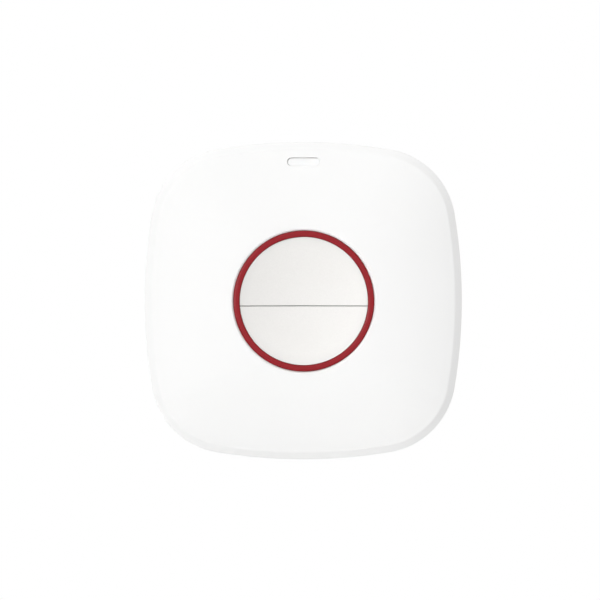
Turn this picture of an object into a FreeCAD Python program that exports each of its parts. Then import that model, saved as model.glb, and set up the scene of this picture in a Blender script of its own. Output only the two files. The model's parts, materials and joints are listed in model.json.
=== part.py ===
"""Wireless panic button for a wall: two press keys under a ring, in a shallow square housing.

The model is drawn in the housing's own directions: x to the right, y up the wall and z out
from the wall, in millimetres, from the middle of the back face. Each finished piece is then
turned so that +Z is up and the front faces -Y.
"""

import FreeCAD, Part
import math
import os
from types import SimpleNamespace

import Sketcher
from FreeCAD import Placement, Rotation, Vector

# Driving sizes in millimetres. Each one becomes a cell of the sheet, under its own name.
SIZES = {
    # Outline seen from the front: a square with bulging sides and round corners
    "body_width": 76.0,
    "side_radius": 125.0,
    "corner_radius": 18.7,
    # Front cover
    "parting_level": 12.0,
    "cover_wall": 2.0,
    "land_height": 2.1,
    "band_width": 1.7,
    "band_rise": 2.0,
    "band_round": 1.4,
    "dome_power": 3.0,
    "shoulder_drop": 0.6,
    "shoulder_inset": 1.2,
    "hole_chamfer": 0.4,
    "collar_width": 1.8,
    "roof_rib_width": 1.2,
    # Rear housing
    "back_inset": 3.0,
    "back_bevel": 1.0,
    "floor_thickness": 1.8,
    "housing_wall": 2.0,
    "tongue_width": 0.9,
    "tongue_height": 1.8,
    "tongue_clearance": 0.15,
    "wall_screw_spacing": 52.0,
    "wall_hole_radius": 2.25,
    "wall_boss_radius": 5.0,
    "wall_boss_height": 1.0,
    "floor_rib_width": 1.2,
    "floor_rib_height": 2.0,
    "floor_rib_edge": 12.4,
    "floor_rib_end": 3.3,
    "support_radius": 3.3,
    "support_bore_radius": 2.4,
    "support_clearance": 0.2,
    # Hooks at the top edge and closing screw at the bottom edge
    "hook_place": 14.0,
    "hook_width": 6.0,
    "hook_thickness": 2.0,
    "hook_edge": 4.2,
    "hook_nose": 1.4,
    "hook_nose_height": 1.1,
    "hook_level": 9.8,
    "hook_clearance": 0.3,
    "lug_width": 8.0,
    "lug_thickness": 2.5,
    "lug_edge": 4.3,
    "lug_level": 4.5,
    "closing_level": 7.0,
    "closing_shank_radius": 0.9,
    "closing_head_radius": 2.1,
    "closing_head_height": 0.95,
    "closing_head_bevel": 0.35,
    "closing_seat": 1.0,
    "closing_tip": 1.2,
    # Ring round the keys
    "ring_radius": 16.85,
    "ring_width": 1.4,
    "ring_sink": 0.7,
    "ring_edge": 0.2,
    "ring_clearance": 0.1,
    "ring_flange_width": 1.95,
    "ring_flange_thickness": 1.2,
    "ring_lug_width": 2.0,
    "ring_lug_depth": 0.9,
    "ring_lug_inset": 0.25,
    # Keys
    "key_clearance": 0.1,
    "key_sink": 0.2,
    "key_edge": 0.15,
    "dish_depth": 3.0,
    "key_skin": 1.2,
    "key_skirt": 1.6,
    "key_wall": 1.5,
    "key_lip_width": 1.15,
    "key_lip_thickness": 1.0,
    "key_travel": 1.0,
    "split_drop": 1.25,
    "split_gap": 0.2,
    "stem_distance": 6.6,
    "stem_radius": 2.2,
    "stem_clearance": 0.15,
    "free_play": 0.1,
    "end_room": 0.3,
    # Frame that guides the keys and clamps the ring
    "frame_thickness": 1.5,
    "frame_wall": 2.0,
    "guide_wall": 1.25,
    "arm_width": 5.0,
    "ear_radius": 3.2,
    "sleeve_radius": 2.8,
    "guide_rib_width": 1.2,
    "guide_rib_reach": 8.0,
    # Screws through the circuit board
    "screw_spacing": 42.0,
    "screw_shank_radius": 1.05,
    "screw_head_radius": 2.1,
    "screw_head_height": 1.4,
    "screw_head_bevel": 0.35,
    "screw_point": 0.5,
    "screw_hole_radius": 1.3,
    "screw_thread_length": 3.6,
    "boss_radius": 3.0,
    "pilot_clearance": 0.05,
    # Light pipe at the top of the cover
    "slot_edge": 4.6,
    "slot_width": 7.75,
    "slot_height": 2.0,
    "lens_clearance": 0.03,
    "lens_sink": 0.5,
    "lens_flange_margin": 0.7,
    "lens_flange_thickness": 1.0,
    "lens_leg_width": 4.0,
    "lens_seat_margin": 0.8,
    "lens_seat_rise": 0.2,
    # Circuit board
    "board_thickness": 1.6,
    "board_clearance": 0.8,
    "board_notch_margin": 0.6,
    # Coin cell, its holder and its contacts
    "cell_radius": 12.25,
    "cell_thickness": 5.0,
    "cell_drop": 6.0,
    "cell_cap_inset": 1.4,
    "cell_cap_height": 0.35,
    "cell_clearance": 0.15,
    "holder_wall": 1.2,
    "holder_floor": 0.6,
    "holder_reach": 4.4,
    "holder_mouth": 18.0,
    "holder_notch": 7.0,
    "peg_radius": 0.7,
    "peg_place": 9.5,
    "peg_rise": 8.0,
    "peg_sink": 0.2,
    "contact_thickness": 0.25,
    "contact_width": 4.0,
    "contact_clearance": 0.25,
    "contact_reach": 5.0,
    "contact_foot": 2.4,
    # Key switches
    "switch_width": 6.0,
    "switch_base_height": 3.0,
    "switch_plate_height": 0.4,
    "switch_plate_inset": 0.2,
    "switch_plunger_radius": 1.75,
    "switch_plunger_rise": 1.6,
    "switch_plunger_root": 0.6,
    "switch_plunger_clearance": 0.1,
    "plunger_bevel": 0.2,
    "switch_lead_place": 2.25,
    "switch_lead_width": 0.7,
    "switch_lead_reach": 1.2,
    "switch_lead_sheet": 0.2,
    # Tamper switch behind the board
    "tamper_edge": 22.0,
    "tamper_width": 6.0,
    "tamper_corner": 0.5,
    "tamper_body_height": 3.5,
    "tamper_plunger_radius": 1.4,
    "tamper_plunger_rise": 1.2,
    "tamper_post_radius": 3.0,
    "tamper_play": 0.05,
    # Parts soldered to the front of the circuit board
    "light_width": 3.2,
    "light_depth": 1.6,
    "light_height": 0.7,
    "light_window_width": 2.2,
    "light_window_depth": 1.4,
    "light_gap": 0.3,
    "shield_edge": 12.5,
    "shield_width": 11.0,
    "shield_length": 15.0,
    "shield_height": 2.4,
    "shield_sheet": 0.2,
    "shield_corner": 0.8,
    "controller_edge": 13.0,
    "controller_rise": 6.5,
    "controller_width": 7.0,
    "controller_height": 0.9,
    "dimple_radius": 0.45,
    "dimple_inset": 1.0,
    "dimple_depth": 0.15,
    "crystal_rise": -0.5,
    "crystal_width": 5.0,
    "crystal_depth": 3.2,
    "crystal_height": 1.2,
    "crystal_corner": 0.6,
    "reservoir_drop": 10.0,
    "reservoir_edge": 12.0,
    "reservoir_radius": 3.0,
    "reservoir_base_height": 0.9,
    "reservoir_base_corner": 0.75,
    "reservoir_can_inset": 0.15,
    "reservoir_height": 4.6,
    "reservoir_bevel": 0.4,
    "chip_width": 1.25,
    "chip_length": 2.0,
    "chip_height": 0.8,
    "chip_pitch": 3.2,
    "chip_row_pitch": 2.5,
    "chip_rise": 12.2,
    "antenna_edge": 8.7,
    "antenna_start": 3.0,
    "antenna_length": 21.0,
    "antenna_sheet": 0.4,
    "antenna_height": 5.0,
    "antenna_strip": 2.2,
    "antenna_leg": 1.6,
    "antenna_leg_pitch": 5.0,
}

CUTS = ("PartDesign::Pocket", "PartDesign::Groove", "PartDesign::SubtractiveLoft", "PartDesign::Chamfer")
ADDITIONS = ("PartDesign::Pad", "PartDesign::Revolution", "PartDesign::AdditiveLoft")
TOUCH = 1e-3

# How far the dome's outlines have shrunk at each section of the outside and of the inside
DOME_SCALES = (1, 0.9, 0.77, 0.62, 0.48, 0.35)
ROOF_SCALES = (0.84, 0.68, 0.42)


def as_text(term):
    """The expression text of a formula or of a plain number."""
    return term.text if isinstance(term, Formula) else repr(term)


class Formula:
    """Arithmetic on cells of the sheet, kept as the text of an expression."""

    def __init__(self, text):
        self.text = text

    def __add__(self, other):
        return Formula(f"({self.text} + {as_text(other)})")

    def __sub__(self, other):
        return Formula(f"({self.text} - {as_text(other)})")

    def __mul__(self, other):
        return Formula(f"({self.text} * {as_text(other)})")

    def __truediv__(self, other):
        return Formula(f"({self.text} / {as_text(other)})")

    def __pow__(self, other):
        return Formula(f"({self.text} ^ {as_text(other)})")

    def __rsub__(self, other):
        return Formula(f"({as_text(other)} - {self.text})")

    def __neg__(self):
        return Formula(f"(0 - {self.text})")

    def root(self):
        """The square root of the formula."""
        return Formula(f"sqrt({self.text})")


ZERO = Formula("0")
document = FreeCAD.newDocument("PanicButton")
sheet = document.addObject("Spreadsheet::Sheet", "Sizes")
for row, (alias, amount) in enumerate(SIZES.items(), 1):
    sheet.set(f"A{row}", alias)
    sheet.set(f"B{row}", str(amount))
    sheet.setAlias(f"B{row}", alias)
document.recompute()
size = SimpleNamespace(**{alias: Formula(f"Sizes.{alias}") for alias in SIZES})


def number(formula):
    """What a formula comes to with the sheet as it stands."""
    return float(sheet.evalExpression(formula.text))


# Levels, each a distance out from the wall
half = size.body_width / 2
land_top = size.parting_level + size.land_height
band_top = land_top + size.band_rise

board_level = (size.floor_thickness + size.contact_clearance + size.contact_thickness
               + size.cell_thickness + size.holder_floor)
board_top = board_level + size.board_thickness
switch_top = board_top + size.switch_base_height + size.switch_plate_height
frame_level = switch_top + size.free_play
frame_top = frame_level + size.frame_thickness
plunger_top = switch_top + size.switch_plunger_rise
stem_end = plunger_top + size.free_play
lip_level = frame_top + size.key_travel + size.free_play
lip_top = lip_level + size.key_lip_thickness
ring_level = lip_top + size.free_play
flange_top = ring_level + size.ring_flange_thickness
collar_level = flange_top + size.free_play
key_underside = lip_level + size.key_skirt
key_rim = key_underside + size.key_skin + size.dish_depth
ring_front = key_rim + size.key_sink
front_level = ring_front + size.ring_sink
dome_height = front_level - band_top
guide_top = key_underside - size.key_travel - size.end_room
lens_seat_level = land_top + size.lens_seat_rise
lens_leg_end = board_top + size.light_height + size.light_gap
switch_bore_depth = size.switch_plunger_root + size.key_travel + size.end_room
tamper_tip = board_level - size.tamper_body_height - size.tamper_plunger_rise
holder_floor_level = board_level - size.holder_floor
cell_back = holder_floor_level - size.cell_thickness

# Radii and places across the front
ring_bore = size.ring_radius - size.ring_width
key_radius = ring_bore - size.key_clearance
lip_radius = key_radius + size.key_lip_width
flange_radius = size.ring_radius + size.ring_flange_width
frame_radius = flange_radius + size.free_play
hole_radius = size.ring_radius + size.ring_clearance
collar_radius = hole_radius + size.collar_width
guide_bore = size.stem_radius + size.stem_clearance
switch_bore = size.switch_plunger_radius + size.switch_plunger_clearance
holder_inside = size.cell_radius + size.cell_clearance
holder_outside = holder_inside + size.holder_wall
split_line = -size.split_drop
screw_place = size.screw_spacing / 2
wall_screw_place = size.wall_screw_spacing / 2
slot_line = half - size.slot_edge
tamper_line = half - size.tamper_edge
antenna_line = half - size.antenna_edge
controller_place = half - size.controller_edge
reservoir_place = half - size.reservoir_edge
shield_place = size.shield_edge - half
upper_stem = split_line + size.stem_distance
lower_stem = split_line - size.stem_distance
cell_line = -size.cell_drop


class Outline(SimpleNamespace):
    """Half width, side radius and corner radius of one outline, all of them formulas."""

    def reach(self):
        """How far the outline's corner lies from its middle, along the diagonal."""
        bulge = self.side - self.half
        swing = self.side - self.corner
        corner_centre = ((swing ** 2 * 2 - bulge ** 2).root() - bulge) / 2
        return corner_centre * math.sqrt(2) + self.corner


def parallel_outline(inset):
    """The housing's outline, moved inwards by the same distance all round."""
    return Outline(half=half - inset, side=size.side_radius - inset, corner=size.corner_radius - inset)


def dome_outline(scale):
    """The outline of the cover's domed front, shrunk towards the middle."""
    rim = parallel_outline(size.band_width)
    return Outline(half=rim.half * scale, side=rim.side * scale, corner=rim.corner * scale)


def skin_level(scale):
    """Height of the domed front where its outline has shrunk to this scale."""
    return front_level - dome_height * Formula(as_text(scale)) ** size.dome_power


def skin_level_at(height, aside=ZERO):
    """Height of the domed front this far above the middle and, near the edge, this far aside."""
    rim = parallel_outline(size.band_width)
    fall = rim.half * aside ** 2 * 2 / rim.side
    return skin_level((height + (height ** 2 + fall).root()) / (rim.half * 2))


def root_level(near, far):
    """A level midway through the skin, for a boss that starts and ends where the skin has these heights."""
    return (near - size.cover_wall + far) / 2


def inset_at(level):
    """How far the rear housing's outside has drawn in at a level."""
    return size.back_inset * (1 - level / size.parting_level)


# Sketches


def start_body(label):
    """An empty body whose label names the piece."""
    body = document.addObject("PartDesign::Body", label)
    body.Label = label
    return body


def start_sketch(body, name, level=ZERO, role="XY_Plane", rise=ZERO):
    """A sketch on one of the body's origin planes, moved out by level and up by rise."""
    sketch = body.newObject("Sketcher::SketchObject", f"{body.Name}_{name}")
    origin_plane = next(item for item in body.Origin.OriginFeatures if item.Role == role)
    sketch.AttachmentSupport = (origin_plane, [""])
    sketch.MapMode = "FlatFace"
    sketch.setExpression(".AttachmentOffset.Base.z", level.text)
    sketch.setExpression(".AttachmentOffset.Base.y", rise.text)
    return sketch


def hold(sketch, kind, points, formula):
    """Add a dimension to a sketch and bind it to a formula."""
    index = sketch.addConstraint(Sketcher.Constraint(kind, *points, number(formula)))
    label = f"{kind}_{index}"
    sketch.renameConstraint(index, label)
    sketch.setExpression(f"Constraints.{label}", formula.text)


def hold_point(sketch, geometry, point, across, along):
    """Hold one point of a sketch at its two distances from the sketch's origin."""
    hold(sketch, "DistanceX", (-1, 1, geometry, point), across)
    hold(sketch, "DistanceY", (-1, 1, geometry, point), along)


def draw_circle(sketch, radius, across=ZERO, along=ZERO):
    """A full circle about a point."""
    centre = Vector(number(across), number(along), 0)
    index = sketch.addGeometry(Part.Circle(centre, Vector(0, 0, 1), number(radius)), False)
    hold(sketch, "Radius", (index,), radius)
    hold_point(sketch, index, 3, across, along)


def draw_polygon(sketch, corners):
    """A closed line through the corners, each of them held in place."""
    places = [Vector(number(across), number(along), 0) for across, along in corners]
    turns = list(zip(places, places[1:] + places[:1]))
    lines = [sketch.addGeometry(Part.LineSegment(start, end), False) for start, end in turns]
    for line, following in zip(lines, lines[1:] + lines[:1]):
        sketch.addConstraint(Sketcher.Constraint("Coincident", line, 2, following, 1))
    for line, (across, along) in zip(lines, corners):
        hold_point(sketch, line, 1, across, along)


def draw_rectangle(sketch, left, right, bottom, top):
    """A rectangle between two places each way."""
    draw_polygon(sketch, [(left, bottom), (right, bottom), (right, top), (left, top)])


def draw_pill(sketch, width, height, along):
    """A slot with round ends, lying level and centred on the sketch's upright axis."""
    radius = height / 2
    end = width / 2 - radius
    across, level, bend = number(end), number(along), number(radius)
    upward = Vector(0, 0, 1)
    right = Part.ArcOfCircle(Part.Circle(Vector(across, level, 0), upward, bend), -math.pi / 2, math.pi / 2)
    left = Part.ArcOfCircle(Part.Circle(Vector(-across, level, 0), upward, bend), math.pi / 2, 1.5 * math.pi)
    top = Part.LineSegment(Vector(across, level + bend, 0), Vector(-across, level + bend, 0))
    bottom = Part.LineSegment(Vector(-across, level - bend, 0), Vector(across, level - bend, 0))
    first = sketch.addGeometry([right, top, left, bottom], False)[0]
    for step in range(4):
        sketch.addConstraint(Sketcher.Constraint("Tangent", first + step, 2, first + (step + 1) % 4, 1))
    hold(sketch, "Radius", (first,), radius)
    hold_point(sketch, first, 3, end, along)
    hold_point(sketch, first + 2, 3, -end, along)


def draw_outline(sketch, outline):
    """The housing's outline: four shallow arcs joined by four corner arcs, all tangent."""
    bulge = number(outline.half - outline.side)
    side, corner = number(outline.side), number(outline.corner)
    swing = side - corner
    spread = math.sqrt(swing ** 2 - bulge ** 2 / 2)
    corner_centre = bulge / 2 + spread / math.sqrt(2)
    turn = math.atan2(corner_centre, corner_centre - bulge)
    quarter = math.pi / 2
    pieces = []
    for step in range(4):
        ahead = Rotation(Vector(0, 0, 1), 90 * step)
        side_centre = ahead.multVec(Vector(bulge, 0, 0))
        bend_centre = ahead.multVec(Vector(corner_centre, corner_centre, 0))
        angle = quarter * step
        side_circle = Part.Circle(side_centre, Vector(0, 0, 1), side)
        bend_circle = Part.Circle(bend_centre, Vector(0, 0, 1), corner)
        pieces.append(Part.ArcOfCircle(side_circle, angle - turn, angle + turn))
        pieces.append(Part.ArcOfCircle(bend_circle, angle + turn, angle + quarter - turn))
    first = sketch.addGeometry(pieces, False)[0]
    for step in range(8):
        sketch.addConstraint(Sketcher.Constraint("Tangent", first + step, 2, first + (step + 1) % 8, 1))
    for step in (2, 4, 6):
        sketch.addConstraint(Sketcher.Constraint("Equal", first, first + step))
        sketch.addConstraint(Sketcher.Constraint("Equal", first + 1, first + step + 1))
    for step, axis in ((0, -1), (2, -2), (4, -1), (6, -2)):
        sketch.addConstraint(Sketcher.Constraint("PointOnObject", first + step, 3, axis))
    inward = outline.half - outline.side
    hold(sketch, "Radius", (first,), outline.side)
    hold(sketch, "Radius", (first + 1,), outline.corner)
    hold(sketch, "DistanceX", (-1, 1, first, 3), inward)
    hold(sketch, "DistanceY", (-1, 1, first + 2, 3), inward)
    hold(sketch, "DistanceX", (-1, 1, first + 4, 3), -inward)
    hold(sketch, "DistanceY", (-1, 1, first + 6, 3), -inward)


def circles(body, name, level, *rounds):
    """A sketch of circles, each given as radius, across and along."""
    sketch = start_sketch(body, name, level)
    for circle in rounds:
        draw_circle(sketch, *circle)
    return sketch


def outlines(body, name, level, *loops):
    """A sketch of one or more housing outlines."""
    sketch = start_sketch(body, name, level)
    for loop in loops:
        draw_outline(sketch, loop)
    return sketch


def rectangle(body, name, level, left, right, bottom, top):
    """A sketch of one rectangle."""
    sketch = start_sketch(body, name, level)
    draw_rectangle(sketch, left, right, bottom, top)
    return sketch


def box_about(body, name, level, width, depth, across=ZERO, along=ZERO):
    """A sketch of one rectangle about its middle."""
    return rectangle(body, name, level, across - width / 2, across + width / 2,
                     along - depth / 2, along + depth / 2)


def at_corners(radius, place):
    """The same circle at four places, one in each quarter."""
    return [(radius, place * across, place * along) for across in (1, -1) for along in (1, -1)]


# Features


def add_feature(body, kind, sketch, name):
    """A feature of the body that works on a sketch."""
    feature = body.newObject(f"PartDesign::{kind}", f"{sketch.Name}_{name}")
    feature.Profile = sketch
    return feature


def pad(sketch, length, symmetric=False):
    """Raise a sketch outwards by a length, or by half of it both ways."""
    feature = add_feature(sketch.getParentGeoFeatureGroup(), "Pad", sketch, "pad")
    feature.SideType = "Symmetric" if symmetric else "One side"
    feature.setExpression("Length", length.text)
    return feature


def pocket(sketch, length, along_normal=True, symmetric=False):
    """Cut a sketch out of the body, outwards from the sketch unless told otherwise."""
    feature = add_feature(sketch.getParentGeoFeatureGroup(), "Pocket", sketch, "pocket")
    feature.SideType = "Symmetric" if symmetric else "One side"
    feature.Reversed = along_normal
    feature.setExpression("Length", length.text)
    return feature


def revolve(sketch, axis="V_Axis"):
    """Turn a section right round an axis of its sketch."""
    feature = add_feature(sketch.getParentGeoFeatureGroup(), "Revolution", sketch, "turn")
    feature.ReferenceAxis = (sketch, [axis])
    feature.Angle = 360
    return feature


def loft(sketches, kind="AdditiveLoft", ruled=False):
    """Join sketches at several levels by one skin."""
    feature = add_feature(sketches[0].getParentGeoFeatureGroup(), kind, sketches[0], "loft")
    feature.Sections = sketches[1:]
    feature.Ruled = ruled
    return feature


def dress(body, kind, name, amount, picks):
    """Round or bevel the edges of the body's last feature that a test picks."""
    document.recompute()
    base = body.Tip
    names = [f"Edge{count}" for count, edge in enumerate(base.Shape.Edges, 1) if picks(edge)]
    if not names:
        raise ValueError(f"{body.Label}: no edge found for {name}")
    feature = body.newObject(f"PartDesign::{kind}", f"{body.Name}_{name}")
    feature.Base = (base, names)
    feature.setExpression("Radius" if kind == "Fillet" else "Size", amount.text)
    return feature


def at_level(level):
    """A test for edges that lie flat at a level."""
    place = number(level)
    return lambda edge: abs(edge.BoundBox.ZMin - place) < TOUCH and abs(edge.BoundBox.ZMax - place) < TOUCH


def upright(edge):
    """A test for straight edges that run out from the wall."""
    box = edge.BoundBox
    return box.XLength < TOUCH and box.YLength < TOUCH and box.ZLength > TOUCH


# Housing


def make_front_cover():
    """Shallow square cap: edge land, sloped band, domed front, and what it carries inside."""
    body = start_body("front_cover")
    edge = parallel_outline(ZERO)
    rim = parallel_outline(size.band_width)
    pad(outlines(body, "land", size.parting_level, edge), size.land_height)
    band = [outlines(body, "band_foot", land_top, edge), outlines(body, "band_head", band_top, rim)]
    loft(band, ruled=True)
    dome = [outlines(body, f"dome_{count}", skin_level(scale), dome_outline(scale))
            for count, scale in enumerate(DOME_SCALES)]
    loft(dome)
    dress(body, "Fillet", "band_round", size.band_round, at_level(band_top))

    hollow_cover(body)
    add_cover_fixings(body)
    cut_cover_openings(body)
    return body


def hollow_cover(body):
    """The inside of the cover, one wall thickness under its outside, and the rebate for the tongue."""
    inner = parallel_outline(size.cover_wall)
    shoulder_level = land_top - size.shoulder_drop
    inner_scale = (half - size.band_width - size.shoulder_inset) / (half - size.band_width)
    pocket(outlines(body, "room", size.parting_level, inner), shoulder_level - size.parting_level)
    shoulder = outlines(body, "shoulder", shoulder_level, inner)
    roof_level = skin_level(inner_scale) - size.cover_wall
    roof_edge = outlines(body, "roof_edge", roof_level, dome_outline(inner_scale))
    loft([shoulder, roof_edge], "SubtractiveLoft", ruled=True)
    roof = [outlines(body, f"roof_{count}", skin_level(scale) - size.cover_wall, dome_outline(scale))
            for count, scale in enumerate((inner_scale, *ROOF_SCALES))]
    loft(roof, "SubtractiveLoft", ruled=True)
    rebate = parallel_outline(size.housing_wall - size.tongue_width - size.tongue_clearance)
    pocket(outlines(body, "rebate", size.parting_level, rebate), size.tongue_height + size.tongue_clearance)


def add_cover_fixings(body):
    """Collar, ribs, screw bosses, light pipe seat, hooks and lug, each rooted in the skin."""
    collar_root = root_level(skin_level_at(hole_radius), skin_level_at(collar_radius))
    pad(circles(body, "collar", collar_level, (collar_radius,)), collar_root - collar_level)

    reach = screw_place * math.sqrt(2)
    corner_reach = parallel_outline(size.band_width).reach()
    rib_root = root_level(skin_level(collar_radius / corner_reach), skin_level(reach / corner_reach))
    half_rib = size.roof_rib_width / 2
    start = (collar_radius + hole_radius) / 2
    for name, turn in (("rising_ribs", 45), ("falling_ribs", -45)):
        ribs = start_sketch(body, name, collar_level)
        ribs.AttachmentOffset = Placement(ribs.AttachmentOffset.Base, Rotation(Vector(0, 0, 1), turn))
        draw_rectangle(ribs, start, reach, -half_rib, half_rib)
        draw_rectangle(ribs, -reach, -start, -half_rib, half_rib)
        pad(ribs, rib_root - collar_level)
    boss_root = root_level(skin_level((reach - size.boss_radius) / corner_reach),
                           skin_level((reach + size.boss_radius) / corner_reach))
    bosses = circles(body, "bosses", frame_top, *at_corners(size.boss_radius, screw_place))
    pad(bosses, boss_root - frame_top)
    pilot_radius = size.screw_shank_radius + size.pilot_clearance
    pocket(circles(body, "pilots", frame_top, *at_corners(pilot_radius, screw_place)),
           size.screw_thread_length + size.end_room)

    seat_width = size.slot_width + size.lens_seat_margin * 2
    seat_height = size.slot_height + size.lens_seat_margin * 2
    seat_root = root_level(skin_level_at(slot_line - seat_height / 2),
                           skin_level_at(slot_line + seat_height / 2))
    pad(box_about(body, "lens_seat", lens_seat_level, seat_width, seat_height, along=slot_line),
        seat_root - lens_seat_level)
    add_hooks(body)

    lug_outer = half - size.lug_edge
    lug_inner = lug_outer - size.lug_thickness
    lug_root = root_level(skin_level_at(lug_inner), skin_level_at(lug_outer))
    lug = box_about(body, "lug", size.lug_level, size.lug_width, size.lug_thickness,
                    along=size.lug_thickness / 2 - lug_outer)
    pad(lug, lug_root - size.lug_level)


def add_hooks(body):
    """A hook with a wedge nose near each end of the top edge."""
    outer = half - size.hook_edge
    inner = outer - size.hook_thickness
    near_side = size.hook_place - size.hook_width / 2
    far_side = size.hook_place + size.hook_width / 2
    root = root_level(skin_level_at(inner, near_side), skin_level_at(outer, far_side))
    nose_tip = outer + size.hook_nose
    nose_top = size.hook_level + size.hook_nose_height
    hook = start_sketch(body, "hook", near_side, "YZ_Plane")
    draw_polygon(hook, [
        (inner, size.hook_level),
        (outer, size.hook_level),
        (nose_tip, nose_top - size.hook_nose_height / 2),
        (nose_tip, nose_top),
        (outer, nose_top),
        (outer, root),
        (inner, root),
    ])
    hook_pad = pad(hook, size.hook_width)
    document.recompute()
    pair = body.newObject("PartDesign::Mirrored", f"{body.Name}_hook_pair")
    pair.Originals = [hook_pad]
    pair.MirrorPlane = (next(item for item in body.Origin.OriginFeatures if item.Role == "YZ_Plane"), [""])
    body.Tip = pair


def cut_cover_openings(body):
    """The round hole for the ring, the light slot and the closing screw's hole in the lug."""
    pocket(circles(body, "hole", collar_level, (hole_radius,)), front_level - collar_level)
    slot = start_sketch(body, "slot", lens_seat_level)
    draw_pill(slot, size.slot_width, size.slot_height, slot_line)
    pocket(slot, front_level - lens_seat_level)
    lug_hole = start_sketch(body, "lug_hole", half, "XZ_Plane")
    draw_circle(lug_hole, size.closing_shank_radius, along=size.closing_level)
    pocket(lug_hole, size.lug_edge + size.lug_thickness * 2, along_normal=False)

    reach = number(hole_radius)
    lowest = number(collar_level) + TOUCH

    def round_the_hole(edge):
        spots = [edge.valueAt(edge.FirstParameter), edge.valueAt(edge.LastParameter)]
        return all(abs(math.hypot(spot.x, spot.y) - reach) < TOUCH and spot.z > lowest for spot in spots)

    dress(body, "Chamfer", "hole_chamfer", size.hole_chamfer, round_the_hole)


def make_rear_housing():
    """Shallow tray that fixes to the wall, with a tongue that locates the cover."""
    body = start_body("rear_housing")
    foot = parallel_outline(inset_at(size.back_bevel))
    loft([outlines(body, "back", ZERO, parallel_outline(size.back_inset + size.back_bevel)),
          outlines(body, "bevel", size.back_bevel, foot)], ruled=True)
    loft([outlines(body, "foot", size.back_bevel, foot),
          outlines(body, "edge", size.parting_level, parallel_outline(ZERO))], ruled=True)
    wall = size.housing_wall
    floor_inset = inset_at(size.floor_thickness) + wall
    tray = [outlines(body, "tray_floor", size.floor_thickness, parallel_outline(floor_inset)),
            outlines(body, "tray_edge", size.parting_level, parallel_outline(wall))]
    loft(tray, "SubtractiveLoft", ruled=True)
    tongue = outlines(body, "tongue", size.parting_level, parallel_outline(wall - size.tongue_width),
                      parallel_outline(wall))
    pad(tongue, size.tongue_height)

    add_floor_details(body)
    cut_housing_openings(body)
    return body


def add_floor_details(body):
    """Ribs, pads round the wall screws, supports behind the board and the post under the tamper switch."""
    rib_half = half - inset_at(size.floor_thickness) - size.housing_wall - size.floor_rib_end
    rib_place = half - size.floor_rib_edge
    for name, place in (("upper_rib", rib_place), ("lower_rib", -rib_place)):
        rib = box_about(body, name, size.floor_thickness, rib_half * 2, size.floor_rib_width, along=place)
        pad(rib, size.floor_rib_height)
    level = size.floor_thickness
    pads = circles(body, "screw_pads", level, (size.wall_boss_radius, wall_screw_place, ZERO),
                   (size.wall_boss_radius, -wall_screw_place, ZERO))
    pad(pads, size.wall_boss_height)
    supports = circles(body, "supports", level, *at_corners(size.support_radius, screw_place),
                       *at_corners(size.support_bore_radius, screw_place))
    pad(supports, board_level - size.support_clearance - level)
    post = circles(body, "tamper_post", level, (size.tamper_post_radius, ZERO, tamper_line))
    pad(post, tamper_tip - size.tamper_play - level)


def cut_housing_openings(body):
    """Wall screw holes, the recesses that catch the hooks and the closing screw's stepped hole."""
    holes = circles(body, "screw_holes", ZERO, (size.wall_hole_radius, wall_screw_place, ZERO),
                    (size.wall_hole_radius, -wall_screw_place, ZERO))
    pocket(holes, size.floor_thickness + size.wall_boss_height)

    room = size.hook_clearance
    nose_tip = half - size.hook_edge + size.hook_nose
    catch = start_sketch(body, "catches", size.hook_level - room)
    for place in (size.hook_place, -size.hook_place):
        reach = size.hook_width / 2 + room
        draw_rectangle(catch, place - reach, place + reach, nose_tip - size.housing_wall, nose_tip + room)
    pocket(catch, size.hook_nose_height + room * 2)

    clearance = size.screw_hole_radius - size.screw_shank_radius
    shank_hole = start_sketch(body, "closing_hole", half, "XZ_Plane")
    draw_circle(shank_hole, size.closing_shank_radius + clearance, along=size.closing_level)
    pocket(shank_hole, size.lug_edge, along_normal=False)
    head_hole = start_sketch(body, "closing_seat", half, "XZ_Plane")
    draw_circle(head_hole, size.closing_head_radius + clearance, along=size.closing_level)
    pocket(head_hole, inset_at(size.closing_level) + size.closing_seat, along_normal=False)


def make_locking_screw():
    """Pan head screw that closes the cover's lug to the bottom wall."""
    body = start_body("locking_screw")
    seat = inset_at(size.closing_level) + size.closing_seat - half
    section = start_sketch(body, "section", role="YZ_Plane", rise=size.closing_level)
    head_start = seat - size.closing_head_height
    end = size.lug_edge + size.lug_thickness + size.closing_tip - half
    draw_polygon(section, [
        (head_start, ZERO),
        (head_start, size.closing_head_radius - size.closing_head_bevel),
        (head_start + size.closing_head_bevel, size.closing_head_radius),
        (seat, size.closing_head_radius),
        (seat, size.closing_shank_radius),
        (end - size.closing_shank_radius, size.closing_shank_radius),
        (end, ZERO),
    ])
    revolve(section, "H_Axis")
    return body


# Ring, keys and their frame


def make_trim_ring():
    """Coloured ring in the cover's hole, with a flange clamped behind the collar and two locating lugs."""
    body = start_body("trim_ring")
    section = start_sketch(body, "section", role="XZ_Plane")
    bevel = size.ring_edge
    draw_polygon(section, [
        (ring_bore, ring_level),
        (flange_radius, ring_level),
        (flange_radius, flange_top),
        (size.ring_radius, flange_top),
        (size.ring_radius, ring_front - bevel),
        (size.ring_radius - bevel, ring_front),
        (ring_bore + bevel, ring_front),
        (ring_bore, ring_front - bevel),
    ])
    revolve(section)
    lugs = start_sketch(body, "lugs", ring_level - size.ring_lug_depth)
    lug_half = size.ring_lug_width / 2
    lug_outer = flange_radius - size.ring_lug_inset
    lug_inner = frame_radius - size.frame_wall + size.ring_lug_inset
    draw_rectangle(lugs, -lug_half, lug_half, lug_inner, lug_outer)
    draw_rectangle(lugs, -lug_half, lug_half, -lug_outer, -lug_inner)
    pad(lugs, size.ring_lug_depth + size.ring_flange_thickness / 2)
    return body


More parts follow.
